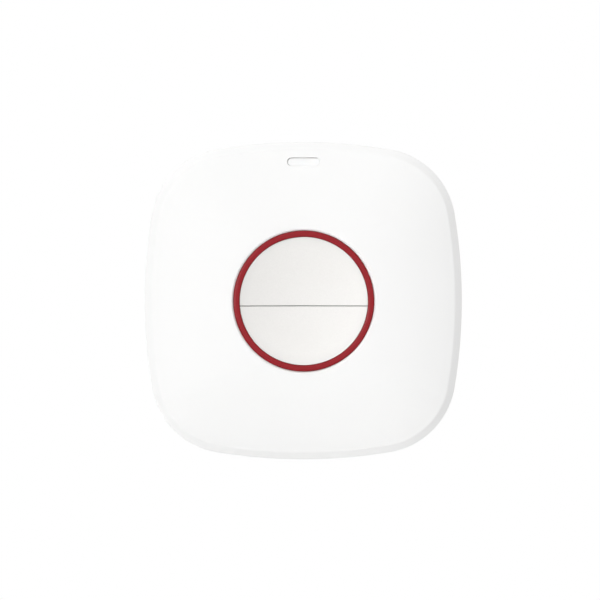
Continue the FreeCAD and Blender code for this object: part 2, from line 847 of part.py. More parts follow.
def draw_key_section(sketch):
    """Half section of the dished disc that both keys are cut from: dish, rim, skirt and lip."""
    dish_floor = key_rim - size.dish_depth
    mouth = key_radius - size.key_edge
    dish_radius = (mouth ** 2 + size.dish_depth ** 2) / (size.dish_depth * 2)
    bend, floor = number(dish_radius), number(dish_floor)
    swing = math.asin(number(mouth) / bend)
    circle = Part.Circle(Vector(0, floor + bend, 0), Vector(0, 0, 1), bend)
    dish = sketch.addGeometry(Part.ArcOfCircle(circle, 1.5 * math.pi, 1.5 * math.pi + swing), False)
    skirt_inside = key_radius - size.key_wall
    corners = [
        (mouth, key_rim),
        (key_radius, key_rim - size.key_edge),
        (key_radius, lip_top),
        (lip_radius, lip_top),
        (lip_radius, lip_level),
        (skirt_inside, lip_level),
        (skirt_inside, key_underside),
        (ZERO, key_underside),
        (ZERO, dish_floor),
    ]
    places = [Vector(number(across), number(along), 0) for across, along in corners]
    spans = zip(places, places[1:])
    lines = [sketch.addGeometry(Part.LineSegment(start, end), False) for start, end in spans]
    for line, following in zip(lines, lines[1:]):
        sketch.addConstraint(Sketcher.Constraint("Coincident", line, 2, following, 1))
    sketch.addConstraint(Sketcher.Constraint("Coincident", dish, 2, lines[0], 1))
    sketch.addConstraint(Sketcher.Constraint("Coincident", lines[-1], 2, dish, 1))
    for line, (across, along) in zip(lines, corners):
        hold_point(sketch, line, 1, across, along)
    hold_point(sketch, lines[-1], 2, *corners[-1])
    sketch.addConstraint(Sketcher.Constraint("PointOnObject", dish, 3, -2))


def make_key(label, above):
    """One of the two dished keys, with a skirt, a retaining lip and a stem to its switch."""
    body = start_body(label)
    section = start_sketch(body, "section", role="XZ_Plane")
    draw_key_section(section)
    revolve(section)

    gap = size.split_gap / 2
    wide = lip_radius * 2
    skirt_half = key_radius - size.key_wall / 2
    if above:
        edge = split_line + gap
        away = (-wide, edge)
        wall = (edge, edge + size.key_wall)
    else:
        edge = split_line - gap
        away = (edge, wide)
        wall = (edge - size.key_wall, edge)
    pocket(rectangle(body, "other_half", lip_level, -wide, wide, *away), key_rim - lip_level)
    split_wall = rectangle(body, "split_wall", lip_level, -skirt_half, skirt_half, *wall)
    pad(split_wall, key_underside - lip_level)
    stem_place = upper_stem if above else lower_stem
    pad(circles(body, "stem", stem_end, (size.stem_radius, ZERO, stem_place)), key_underside - stem_end)
    return body


def make_key_frame():
    """Moulded frame behind the keys: it guides their stems, stops them and clamps the ring."""
    body = start_body("key_frame")
    pad(circles(body, "plate", frame_level, (frame_radius,)), size.frame_thickness)
    side_step = size.arm_width / 2 / math.sqrt(2)
    inner, outer = screw_place - side_step, screw_place + side_step
    for name, turn in (("rising_arm", 1), ("falling_arm", -1)):
        arm = start_sketch(body, name, frame_level)
        corners = [(inner, outer), (-outer, -inner), (-inner, -outer), (outer, inner)]
        draw_polygon(arm, [(across * turn, along) for across, along in corners])
        pad(arm, size.frame_thickness)
    pad(circles(body, "ears", frame_level, *at_corners(size.ear_radius, screw_place)), size.frame_thickness)
    sleeves = circles(body, "sleeves", board_top, *at_corners(size.sleeve_radius, screw_place))
    pad(sleeves, frame_level - board_top)
    pad(circles(body, "wall", frame_top, (frame_radius,), (frame_radius - size.frame_wall,)),
        ring_level - frame_top)
    stems = [(ZERO, upper_stem), (ZERO, lower_stem)]
    pad(circles(body, "guides", frame_top, *[(guide_bore + size.guide_wall, *stem) for stem in stems]),
        guide_top - frame_top)
    for name, line in (("upper_rib", upper_stem), ("lower_rib", lower_stem)):
        rib = box_about(body, name, frame_top, size.guide_rib_reach * 2, size.guide_rib_width, along=line)
        pad(rib, guide_top - frame_top)
    pocket(circles(body, "guide_bores", frame_level, *[(guide_bore, *stem) for stem in stems]),
           guide_top - frame_level)
    notch_half = size.ring_lug_width / 2 + size.ring_lug_inset
    notch_depth = size.ring_lug_depth + size.free_play
    inner_edge = frame_radius - size.frame_wall - size.free_play
    outer_edge = frame_radius + size.free_play
    notches = start_sketch(body, "lug_notches", ring_level - notch_depth)
    draw_rectangle(notches, -notch_half, notch_half, inner_edge, outer_edge)
    draw_rectangle(notches, -notch_half, notch_half, -outer_edge, -inner_edge)
    pocket(notches, notch_depth)
    pocket(circles(body, "screw_holes", board_top, *at_corners(size.screw_hole_radius, screw_place)),
           frame_top - board_top)
    return body


# Light pipe


def make_status_lens():
    """Light pipe: a leg over the lamp, a flange under the cover and a pill in the slot."""
    body = start_body("status_lens")
    flange_level = lens_seat_level - size.lens_flange_thickness
    flange_width = size.slot_width + size.lens_flange_margin * 2
    flange_height = size.slot_height + size.lens_flange_margin * 2
    pill_height = size.slot_height - size.lens_clearance * 2
    pad(box_about(body, "flange", flange_level, flange_width, flange_height, along=slot_line),
        size.lens_flange_thickness)
    pad(box_about(body, "leg", lens_leg_end, size.lens_leg_width, pill_height, along=slot_line),
        flange_level - lens_leg_end)
    pill = start_sketch(body, "pill", lens_seat_level)
    draw_pill(pill, size.slot_width - size.lens_clearance * 2, pill_height, slot_line)
    pad(pill, skin_level_at(slot_line) - size.lens_sink - lens_seat_level)
    return body


# Circuit board and what is soldered to it


def holder_pegs(radius):
    """A circle at the place of each peg that locates the battery holder on the board."""
    return [(radius, size.peg_place * across, cell_line + size.peg_rise) for across in (1, -1)]


def make_circuit_board():
    """Board that follows the housing's outline, notched for the lug, drilled for screws and pegs."""
    body = start_body("circuit_board")
    inset = inset_at(board_level) + size.housing_wall + size.board_clearance
    pad(outlines(body, "outline", board_level, parallel_outline(inset)), size.board_thickness)
    notch_half = size.lug_width / 2 + size.board_notch_margin
    notch_end = size.lug_edge + size.lug_thickness + size.board_notch_margin - half
    notch = rectangle(body, "notch", board_level, -notch_half, notch_half, -half, notch_end)
    pocket(notch, size.board_thickness)
    pocket(circles(body, "screw_holes", board_level, *at_corners(size.screw_hole_radius, screw_place)),
           size.board_thickness)
    pocket(circles(body, "peg_holes", board_level, *holder_pegs(size.peg_radius + size.pilot_clearance)),
           size.board_thickness)
    return body


def make_board_screws():
    """Four screws that pass the board and the key frame and bite in the cover's bosses."""
    body = start_body("board_screws")
    head_level = board_level - size.screw_head_height
    tip_level = frame_top + size.screw_thread_length
    pad(circles(body, "heads", head_level, *at_corners(size.screw_head_radius, screw_place)),
        size.screw_head_height)
    dress(body, "Chamfer", "head_bevel", size.screw_head_bevel, at_level(head_level))
    pad(circles(body, "shanks", board_level, *at_corners(size.screw_shank_radius, screw_place)),
        tip_level - board_level)
    dress(body, "Chamfer", "points", size.screw_point, at_level(tip_level))
    return body


def make_switch_body(label, stem_place):
    """Square push switch: moulded base, pressed steel top and four leads."""
    body = start_body(label)
    width = size.switch_width
    base_top = board_top + size.switch_base_height
    pad(box_about(body, "base", board_top, width, width, along=stem_place), size.switch_base_height)
    plate_width = width - size.switch_plate_inset * 2
    pad(box_about(body, "plate", base_top, plate_width, plate_width, along=stem_place),
        size.switch_plate_height)
    lead_span = width + size.switch_lead_reach * 2
    for name, step in (("upper_leads", 1), ("lower_leads", -1)):
        lead_line = stem_place + size.switch_lead_place * step
        leads = box_about(body, name, board_top, lead_span, size.switch_lead_width, along=lead_line)
        pad(leads, size.switch_lead_sheet)
    bore = circles(body, "bore", switch_top, (switch_bore, ZERO, stem_place))
    pocket(bore, switch_bore_depth, along_normal=False)
    return body


def make_switch_plunger(label, stem_place):
    """Plunger of a key switch, which the key's stem pushes in."""
    body = start_body(label)
    base = switch_top - size.switch_plunger_root
    pad(circles(body, "post", base, (size.switch_plunger_radius, ZERO, stem_place)), plunger_top - base)
    dress(body, "Chamfer", "tip", size.plunger_bevel, at_level(plunger_top))
    return body


def make_tamper_switch():
    """Small switch behind the board that tells when the housing leaves the wall plate."""
    body = start_body("tamper_switch")
    level = board_level - size.tamper_body_height
    pad(box_about(body, "case", level, size.tamper_width, size.tamper_width, along=tamper_line),
        size.tamper_body_height)
    dress(body, "Chamfer", "corners", size.tamper_corner, upright)
    return body


def make_tamper_plunger():
    """Plunger of the tamper switch, held in by the post on the housing's floor."""
    body = start_body("tamper_plunger")
    pad(circles(body, "post", tamper_tip, (size.tamper_plunger_radius, ZERO, tamper_line)),
        size.tamper_plunger_rise)
    dress(body, "Chamfer", "tip", size.plunger_bevel, at_level(tamper_tip))
    return body


def make_coin_cell():
    """Flat round cell: a wide can towards the wall and a narrower cap towards the board."""
    body = start_body("coin_cell")
    can = circles(body, "can", cell_back, (size.cell_radius, ZERO, cell_line))
    pad(can, size.cell_thickness - size.cell_cap_height)
    dress(body, "Chamfer", "can_bevel", size.cell_cap_height, at_level(cell_back))
    cap_radius = size.cell_radius - size.cell_cap_inset
    cap_level = holder_floor_level - size.cell_cap_height
    pad(circles(body, "cap", cap_level, (cap_radius, ZERO, cell_line)), size.cell_cap_height)
    return body


def make_battery_holder():
    """Moulded cradle on the back of the board, pegged to it, open at the bottom for the cell."""
    body = start_body("battery_holder")
    pad(circles(body, "floor", holder_floor_level, (holder_outside, ZERO, cell_line)), size.holder_floor)
    wall_base = holder_floor_level - size.holder_reach
    walls = [(radius, ZERO, cell_line) for radius in (holder_outside, holder_inside)]
    wall = circles(body, "wall", wall_base, *walls)
    pad(wall, size.holder_reach)
    mouth = rectangle(body, "mouth", wall_base, -size.holder_mouth / 2, size.holder_mouth / 2,
                      cell_line - holder_outside, cell_line - holder_inside / 2)
    pocket(mouth, size.holder_reach)
    window_half = size.contact_width / 2 + size.contact_clearance
    window = rectangle(body, "side_window", wall_base, holder_inside / 2, holder_outside,
                       cell_line - window_half, cell_line + window_half)
    pocket(window, size.holder_reach + size.holder_floor)
    slot_half = size.contact_reach + size.contact_clearance
    slot = rectangle(body, "leaf_slot", holder_floor_level, -slot_half, slot_half,
                     cell_line - window_half, cell_line + window_half)
    pocket(slot, size.holder_floor)
    notch_half = size.holder_notch / 2
    notch = rectangle(body, "finger_notch", wall_base, -holder_outside, -holder_inside / 2,
                      cell_line - notch_half, cell_line + notch_half)
    pocket(notch, size.holder_reach / 2)
    pad(circles(body, "pegs", board_level, *holder_pegs(size.peg_radius)),
        size.board_thickness - size.peg_sink)
    return body


def make_positive_contact():
    """Strap from the board, past the cell's side and over its back."""
    body = start_body("positive_contact")
    sheet_thickness = size.contact_thickness
    inside = holder_inside
    outside = inside + sheet_thickness
    foot_level = board_level - sheet_thickness
    strap = start_sketch(body, "strap", -cell_line, "XZ_Plane")
    draw_polygon(strap, [
        (inside - size.contact_reach, cell_back - sheet_thickness),
        (outside, cell_back - sheet_thickness),
        (outside, foot_level),
        (outside + size.contact_foot, foot_level),
        (outside + size.contact_foot, board_level),
        (inside, board_level),
        (inside, cell_back),
        (inside - size.contact_reach, cell_back),
    ])
    pad(strap, size.contact_width, symmetric=True)
    return body


def make_negative_contact():
    """Leaf between the board and the cell's cap, lying in the holder's slot."""
    body = start_body("negative_contact")
    leaf_top = holder_floor_level + size.contact_thickness
    foot_level = board_level - size.contact_thickness
    leaf = start_sketch(body, "leaf", -cell_line, "XZ_Plane")
    reach = size.contact_reach
    bend = reach / 2
    draw_polygon(leaf, [
        (-reach, foot_level),
        (-bend, foot_level),
        (ZERO, holder_floor_level),
        (reach, holder_floor_level),
        (reach, leaf_top),
        (size.contact_thickness, leaf_top),
        (size.contact_thickness - bend, board_level),
        (-reach, board_level),
    ])
    pad(leaf, size.contact_width, symmetric=True)
    return body


def make_status_led():
    """Surface mounted lamp under the light pipe."""
    body = start_body("status_led")
    line = slot_line - size.light_depth / 2
    case_height = size.light_height / 2
    pad(box_about(body, "case", board_top, size.light_width, size.light_depth, along=line), case_height)
    window = box_about(body, "window", board_top + case_height, size.light_window_width,
                       size.light_window_depth, along=line)
    pad(window, case_height)
    return body


def make_radio_shield():
    """Drawn sheet metal can over the radio circuit, open towards the board."""
    body = start_body("radio_shield")
    can = box_about(body, "can", board_top, size.shield_width, size.shield_length, shield_place)
    pad(can, size.shield_height)
    dress(body, "Fillet", "corners", size.shield_corner, upright)
    inside_width = size.shield_width - size.shield_sheet * 2
    inside_length = size.shield_length - size.shield_sheet * 2
    room = box_about(body, "room", board_top, inside_width, inside_length, shield_place)
    pocket(room, size.shield_height - size.shield_sheet)
    return body


def make_microcontroller():
    """Square controller chip with a dimple at its first pin."""
    body = start_body("microcontroller")
    width = size.controller_width
    across, along = controller_place, size.controller_rise
    pad(box_about(body, "case", board_top, width, width, across, along), size.controller_height)
    top = board_top + size.controller_height
    inward = width / 2 - size.dimple_inset
    dimple = circles(body, "dimple", top, (size.dimple_radius, across - inward, along + inward))
    pocket(dimple, size.dimple_depth, along_normal=False)
    return body


def make_crystal():
    """Canned crystal beside the controller."""
    body = start_body("crystal")
    case = box_about(body, "case", board_top, size.crystal_width, size.crystal_depth, controller_place,
                     size.crystal_rise)
    pad(case, size.crystal_height)
    dress(body, "Fillet", "corners", size.crystal_corner, upright)
    return body


def make_reservoir_capacitor():
    """Upright can capacitor on a square base."""
    body = start_body("reservoir_capacitor")
    across, along = reservoir_place, -size.reservoir_drop
    width = size.reservoir_radius * 2
    pad(box_about(body, "base", board_top, width, width, across, along), size.reservoir_base_height)
    dress(body, "Chamfer", "corners", size.reservoir_base_corner, upright)
    can_level = board_top + size.reservoir_base_height
    can = circles(body, "can", can_level, (size.reservoir_radius - size.reservoir_can_inset, across, along))
    pad(can, size.reservoir_height - size.reservoir_base_height)
    dress(body, "Chamfer", "can_bevel", size.reservoir_bevel, at_level(board_top + size.reservoir_height))
    return body


def make_chip_capacitors():
    """Six chip capacitors, in two rows beyond the controller and the crystal."""
    body = start_body("chip_capacitors")
    chips = start_sketch(body, "chips", board_top)
    long_half, short_half = size.chip_length / 2, size.chip_width / 2
    for row_step in (0, 1):
        along = size.chip_rise + size.chip_row_pitch * row_step
        upright_span = (along - short_half, along + short_half)
        for column_step in (-1, 0, 1):
            across = controller_place + size.chip_pitch * column_step
            draw_rectangle(chips, across - long_half, across + long_half, *upright_span)
    pad(chips, size.chip_height)
    return body


def make_antenna():
    """Stamped strip that stands on two legs along the top of the board."""
    body = start_body("antenna")
    front = start_sketch(body, "strip", -antenna_line, "XZ_Plane")
    top = board_top + size.antenna_height
    strip_base = top - size.antenna_strip
    start = size.antenna_start
    end = start + size.antenna_length
    second = start + size.antenna_leg_pitch
    draw_polygon(front, [
        (start, board_top),
        (start + size.antenna_leg, board_top),
        (start + size.antenna_leg, strip_base),
        (second, strip_base),
        (second, board_top),
        (second + size.antenna_leg, board_top),
        (second + size.antenna_leg, strip_base),
        (end, strip_base),
        (end, top),
        (start, top),
    ])
    pad(front, size.antenna_sheet, symmetric=True)
    return body


def make_all():
    """Every piece of the product, each as its own body."""
    return [
        make_front_cover(),
        make_rear_housing(),
        make_locking_screw(),
        make_trim_ring(),
        make_key("upper_key", above=True),
        make_key("lower_key", above=False),
        make_key_frame(),
        make_status_lens(),
        make_circuit_board(),
        make_board_screws(),
        make_switch_body("upper_switch_body", upper_stem),
        make_switch_plunger("upper_switch_plunger", upper_stem),
        make_switch_body("lower_switch_body", lower_stem),
        make_switch_plunger("lower_switch_plunger", lower_stem),
        make_tamper_switch(),
        make_tamper_plunger(),
        make_coin_cell(),
        make_battery_holder(),
        make_positive_contact(),
        make_negative_contact(),
        make_status_led(),
        make_radio_shield(),
        make_microcontroller(),
        make_crystal(),
        make_reservoir_capacitor(),
        make_chip_capacitors(),
        make_antenna(),
    ]


def check(bodies):
    """Stop if an object failed, a cut removed nothing or a piece is not a sound solid."""
    for item in document.Objects:
        if "Invalid" in item.State or "Error" in item.State:
            raise RuntimeError(f"{item.Label} failed: {item.State}")
        base = getattr(item, "BaseFeature", None)
        if base and item.TypeId in CUTS and not item.Shape.Volume < base.Shape.Volume:
            raise RuntimeError(f"{item.Label} cuts nothing")
        if base and item.TypeId in ADDITIONS and not item.Shape.Volume > base.Shape.Volume:
            raise RuntimeError(f"{item.Label} adds nothing")
    for body in bodies:
        if body.Shape.isNull() or not body.Shape.isValid() or not body.Shape.Solids:
            raise RuntimeError(f"{body.Label} is not a sound solid")


pieces = make_all()
for piece in pieces:
    piece.Placement = Placement(Vector(0, 0, 0), Rotation(Vector(1, 0, 0), 90))
document.recompute()
check(pieces)
os.makedirs("parts", exist_ok=True)
for piece in pieces:
    piece.Shape.exportStep(f"parts/{piece.Label}.step")
    print(f"{piece.Label}: {len(piece.Shape.Solids)} solid(s), {piece.Shape.Volume:.1f} mm3")
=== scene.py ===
"""Wireless panic button for a wall, dressed for its picture.

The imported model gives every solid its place. The mouldings that show are shaped anew here, with
the even skins and soft edges that moulded parts have, and every solid gets its own finish.
Lengths are millimetres in the housing's own directions, x to the right, y up the wall and z out
from the wall, until a finished mesh is stood up in the frame.
"""

from __future__ import annotations

import json
import logging
import math
from dataclasses import dataclass, field
from enum import Enum
from typing import Any, Callable, Iterable

import bmesh
import bpy
from bmesh.types import BMEdge, BMesh, BMFace, BMVert
from bpy.types import Material, Node, NodeSocket, Object, World
from mathutils import Matrix, Vector

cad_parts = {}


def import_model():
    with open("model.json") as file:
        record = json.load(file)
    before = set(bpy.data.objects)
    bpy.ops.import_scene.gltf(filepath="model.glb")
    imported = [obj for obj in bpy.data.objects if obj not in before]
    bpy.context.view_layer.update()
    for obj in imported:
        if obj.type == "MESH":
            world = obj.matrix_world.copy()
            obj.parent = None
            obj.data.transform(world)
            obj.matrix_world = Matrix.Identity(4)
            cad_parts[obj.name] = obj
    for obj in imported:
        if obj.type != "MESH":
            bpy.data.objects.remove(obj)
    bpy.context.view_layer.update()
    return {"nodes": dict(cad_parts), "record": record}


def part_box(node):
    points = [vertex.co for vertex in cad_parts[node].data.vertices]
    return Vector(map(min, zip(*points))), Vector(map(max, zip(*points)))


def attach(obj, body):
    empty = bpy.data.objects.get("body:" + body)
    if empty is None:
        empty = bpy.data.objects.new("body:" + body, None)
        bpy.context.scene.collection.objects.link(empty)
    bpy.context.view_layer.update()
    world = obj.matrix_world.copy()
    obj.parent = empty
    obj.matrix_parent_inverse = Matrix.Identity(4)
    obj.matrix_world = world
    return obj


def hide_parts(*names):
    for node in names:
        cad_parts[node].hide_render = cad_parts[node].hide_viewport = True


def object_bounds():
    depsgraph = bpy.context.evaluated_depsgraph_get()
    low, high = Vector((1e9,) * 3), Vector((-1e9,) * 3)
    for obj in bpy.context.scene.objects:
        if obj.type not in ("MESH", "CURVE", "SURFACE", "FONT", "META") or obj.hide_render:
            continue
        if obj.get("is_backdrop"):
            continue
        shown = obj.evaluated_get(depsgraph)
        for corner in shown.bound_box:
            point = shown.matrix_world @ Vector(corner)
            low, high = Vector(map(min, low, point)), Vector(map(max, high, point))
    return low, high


frame: dict[str, Any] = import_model()

log = logging.getLogger("panic_button")

MM = 0.001
STAND_UP = Matrix.Rotation(math.radians(90), 4, "X") @ Matrix.Scale(MM, 4)
SIDE_STEPS = 22
CORNER_STEPS = 18
PILL_END_STEPS = 14
PILL_RUN_STEPS = 15
SHARP_ANGLE = math.radians(38)
WELD = 1e-4
NEAR = 10 * WELD

Colour = tuple[float, float, float]
Spot = tuple[float, float, float]
Pair = tuple[float, float]
Loop = list[BMEdge]
Place = Callable[[Vector], Vector]


class Slot(Enum):
    """The record's material slots."""

    COVER = "cover_plastic"
    HOUSING = "housing_plastic"
    KEY = "key_plastic"
    RING = "ring_plastic"
    FRAME = "frame_plastic"
    LENS = "lens_plastic"
    BOARD = "board"
    DARK = "dark_plastic"
    STEEL = "steel"
    CAN = "can_metal"
    STRIP = "strip_metal"
    CERAMIC = "chip_ceramic"


class Body(Enum):
    """The bodies that pieces ride on."""

    HOUSING = "housing"
    UPPER_KEY = "upper_key"
    LOWER_KEY = "lower_key"


# Finishes


class Tree:
    """Short calls for a tree of shader nodes."""

    def __init__(self, owner: Material | World) -> None:
        """Empty the owner's tree.

        Args:
            owner: The material or the world that the nodes belong to.
        """
        owner.use_nodes = True
        self.tree = owner.node_tree
        self.tree.nodes.clear()

    def add(self, kind: str, values: dict[str, Any] | None = None) -> Node:
        """Add a node.

        Args:
            kind: Its type, less the word that all shader nodes start with.
            values: What its inputs are set to, by name.

        Returns:
            The new node.
        """
        node = self.tree.nodes.new(f"ShaderNode{kind}")
        for name, value in (values or {}).items():
            node.inputs[name].default_value = value
        return node

    def join(self, source: NodeSocket, target: NodeSocket) -> None:
        """Link one socket to another."""
        self.tree.links.new(source, target)

    def spread(self, value: NodeSocket, low: float, high: float, start: float = 0.3, end: float = 0.7
               ) -> NodeSocket:
        """Spread a value from start to end over low to high.

        Args:
            value: The socket that gives the value.
            low: What it is at start and below.
            high: What it is at end and above.
            start: The value that becomes low.
            end: The value that becomes high.

        Returns:
            The socket that gives the spread value.
        """
        ramp = self.add("MapRange", {"From Min": start, "From Max": end, "To Min": low, "To Max": high})
        self.join(value, ramp.inputs["Value"])
        return ramp.outputs["Result"]


class Nodes(Tree):
    """The nodes of one material: a shader, its output and the object's own coordinates."""

    def __init__(self, name: str) -> None:
        """Start a material.

        Args:
            name: The material's name.
        """
        self.material = bpy.data.materials.new(name)
        super().__init__(self.material)
        self.shader = self.add("BsdfPrincipled")
        self.join(self.shader.outputs["BSDF"], self.add("OutputMaterial").inputs["Surface"])
        self.place = self.add("TexCoord").outputs["Object"]

    def feed(self, name: str, source: NodeSocket) -> None:
        """Link a socket to one of the shader's."""
        self.join(source, self.shader.inputs[name])

    def hold(self, name: str, value: Any) -> None:
        """Set one of the shader's own values."""
        self.shader.inputs[name].default_value = value

    def noise(self, grain: float, detail: float = 2.0, stretch: Spot | None = None, roughness: float = 0.5
              ) -> NodeSocket:
        """A cloud of noise.

        Args:
            grain: The size of one grain, in millimetres.
            detail: How many finer layers it has.
            stretch: How often the grain repeats along x, y and z, beside its plain size.
            roughness: How strong the finer layers are.

        Returns:
            The socket that gives a value from 0 to 1.
        """
        cloud = self.add("TexNoise", {"Scale": 1 / (grain * MM), "Detail": detail, "Roughness": roughness})
        self.join(self.stretched(stretch), cloud.inputs["Vector"])
        return cloud.outputs["Fac"]

    def cells(self, grain: float) -> NodeSocket:
        """A field of scattered points.

        Args:
            grain: How far apart the points lie, in millimetres.

        Returns:
            The socket that gives the distance to the nearest point, as a share of a grain.
        """
        points = self.add("TexVoronoi", {"Scale": 1 / (grain * MM)})
        self.join(self.place, points.inputs["Vector"])
        return points.outputs["Distance"]

    def stretched(self, stretch: Spot | None) -> NodeSocket:
        """The object's own coordinates, scaled where that is asked for.

        Args:
            stretch: The scale along x, y and z, or None for plain coordinates.

        Returns:
            The socket that gives the coordinates.
        """
        if stretch is None:
            return self.place
        mapping = self.add("Mapping", {"Scale": stretch})
        self.join(self.place, mapping.inputs["Vector"])
        return mapping.outputs["Vector"]

    def blend(self, share: NodeSocket, first: Colour | NodeSocket, second: Colour | NodeSocket
              ) -> NodeSocket:
        """Mix two colours by a share.

        Args:
            share: The socket that gives the second colour's share.
            first: The first colour, or the socket that gives it.
            second: The second colour, or the socket that gives it.

        Returns:
            The socket that gives the mixed colour.
        """
        mix = self.add("Mix")
        mix.data_type = "RGBA"
        self.join(share, mix.inputs["Factor"])
        for name, colour in (("A", first), ("B", second)):
            if isinstance(colour, tuple):
                mix.inputs[name].default_value = (*colour, 1)
            else:
                self.join(colour, mix.inputs[name])
        return mix.outputs["Result"]

    def relief(self, height: NodeSocket, depth: float, strength: float = 1.0,
               below: NodeSocket | None = None) -> NodeSocket:
        """Turn a height into a bump.

        Args:
            height: The socket that gives the height from 0 to 1.
            depth: What a height of 1 stands for, in millimetres.
            strength: How much of the bump is used.
            below: A coarser bump that this one lies on.

        Returns:
            The bumped normal.
        """
        bump = self.add("Bump", {"Distance": depth * MM, "Strength": strength})
        self.join(height, bump.inputs["Height"])
        if below is not None:
            self.join(below, bump.inputs["Normal"])
        return bump.outputs["Normal"]


def shade(colour: Colour, factor: float) -> Colour:
    """A colour made darker or lighter, no lighter than white."""
    return tuple(min(channel * factor, 1.0) for channel in colour)


@dataclass(frozen=True)
class Finish:
    """A moulded surface: one colour that wanders a little, a gloss that varies and a fine grain."""

    name: str
    colour: Colour
    roughness: float
    grain: float = 0.3
    depth: float = 0.004
    wander: float = 0.015
    patch: float = 9.0
    gloss_spread: float = 0.04
    specular: float = 0.5

    def material(self) -> Material:
        """Make the material of this finish."""
        nodes = Nodes(self.name)
        self.dress(nodes)
        return nodes.material

    def dress(self, nodes: Nodes) -> None:
        """Give the shader its colour, gloss and grain.

        Args:
            nodes: The material that is being made.
        """
        cloud = nodes.spread(nodes.noise(self.patch, detail=4), 0, 1)
        darker, lighter = shade(self.colour, 1 - self.wander), shade(self.colour, 1 + self.wander)
        nodes.feed("Base Color", nodes.blend(cloud, darker, lighter))
        self.vary_gloss(nodes, nodes.noise(self.patch / 3, detail=3))
        nodes.feed("Normal", nodes.relief(nodes.noise(self.grain), self.depth))
        nodes.hold("Specular IOR Level", self.specular)

    def vary_gloss(self, nodes: Nodes, cloud: NodeSocket) -> None:
        """Let the gloss follow a cloud of noise.

        Args:
            nodes: The material that is being made.
            cloud: The socket that gives the noise.
        """
        low, high = self.roughness - self.gloss_spread, self.roughness + self.gloss_spread
        nodes.feed("Roughness", nodes.spread(cloud, low, high))


@dataclass(frozen=True)
class SparkedFinish(Finish):
    """A plastic from a spark-eroded mould: a fine even crust with lighter crests."""

    speck: float = 0.03
    crest_size: float = 1.6
    crest_share: float = 0.5

    def dress(self, nodes: Nodes) -> None:
        """Give the shader its colour and the crust.

        Args:
            nodes: The material that is being made.
        """
        crust = nodes.noise(self.grain, detail=3, roughness=0.6)
        crests = nodes.spread(nodes.cells(self.grain * self.crest_size), 0, 1, start=0.1, end=0.6)
        nodes.feed("Base Color", self.crusted(nodes, nodes.spread(crust, 0, 1, start=0.25, end=0.75)))
        coarse = nodes.relief(crests, self.depth, self.crest_share)
        nodes.feed("Normal", nodes.relief(crust, self.depth, below=coarse))
        self.vary_gloss(nodes, nodes.noise(self.patch))
        nodes.hold("Specular IOR Level", self.specular)

    def crusted(self, nodes: Nodes, crust: NodeSocket) -> NodeSocket:
        """The colour, darker in the crust's hollows and lighter on its crests."""
        return nodes.blend(crust, shade(self.colour, 1 - self.speck), shade(self.colour, 1 + self.speck))


@dataclass(frozen=True)
class RimShadedFinish(SparkedFinish):
    """A sparked plastic in a round surround, with painted shade that darkens its colour towards the rim."""

    # Painted shade: how much darker the colour gets at the rim, and the radii over which it comes in.
    rim_shade: float = 0.06
    rim_shade_from: float = 12.6
    rim_shade_to: float = 15.4

    def crusted(self, nodes: Nodes, crust: NodeSocket) -> NodeSocket:
        """The crusted colour, darkened towards the rim by painted shade.

        Args:
            nodes: The material that is being made.
            crust: The socket that gives the crust's height.

        Returns:
            The socket that gives the colour.
        """
        away = nodes.add("VectorMath")
        away.operation = "LENGTH"
        nodes.join(nodes.stretched((1.0, 0.0, 1.0)), away.inputs[0])
        near_rim = nodes.spread(away.outputs["Value"], 0, 1, self.rim_shade_from * MM, self.rim_shade_to * MM)
        # Painted shade: the colour darkens over the last few millimetres before the rim.
        painted_shade = nodes.blend(near_rim, self.colour, shade(self.colour, 1 - self.rim_shade))
        return nodes.blend(near_rim, super().crusted(nodes, crust), painted_shade)


@dataclass(frozen=True)
class ClearedFinish(Finish):
    """A smooth plastic with depth: light goes in a little way, and the face is polished."""

    scatter: float = 0.15
    scatter_colour: Colour = (1.0, 0.9, 0.8)
    scatter_reach: float = 0.6
    coat: float = 0.2
    coat_roughness: float = 0.12

    def dress(self, nodes: Nodes) -> None:
        """Give the shader its colour, its milky depth and its polish.

        Args:
            nodes: The material that is being made.
        """
        super().dress(nodes)
        nodes.hold("Subsurface Weight", self.scatter)
        nodes.hold("Subsurface Radius", self.scatter_colour)
        nodes.hold("Subsurface Scale", self.scatter_reach * MM)
        nodes.hold("Coat Weight", self.coat)
        nodes.hold("Coat Roughness", self.coat_roughness)


@dataclass(frozen=True)
class MetalFinish(Finish):
    """Plated or drawn metal with fine lines one way and soft stains."""

    line: Spot = (1.0, 0.04, 1.0)
    stain: float = 0.12

    def dress(self, nodes: Nodes) -> None:
        """Give the shader its metal, the drawn lines and the stains.

        Args:
            nodes: The material that is being made.
        """
        cloud = nodes.spread(nodes.noise(self.patch, detail=5), 0, 1)
        nodes.feed("Base Color", nodes.blend(cloud, shade(self.colour, 1 - self.stain), self.colour))
        lines = nodes.noise(self.grain, detail=3, stretch=self.line)
        self.vary_gloss(nodes, lines)
        nodes.feed("Normal", nodes.relief(lines, self.depth))
        nodes.hold("Metallic", 1.0)


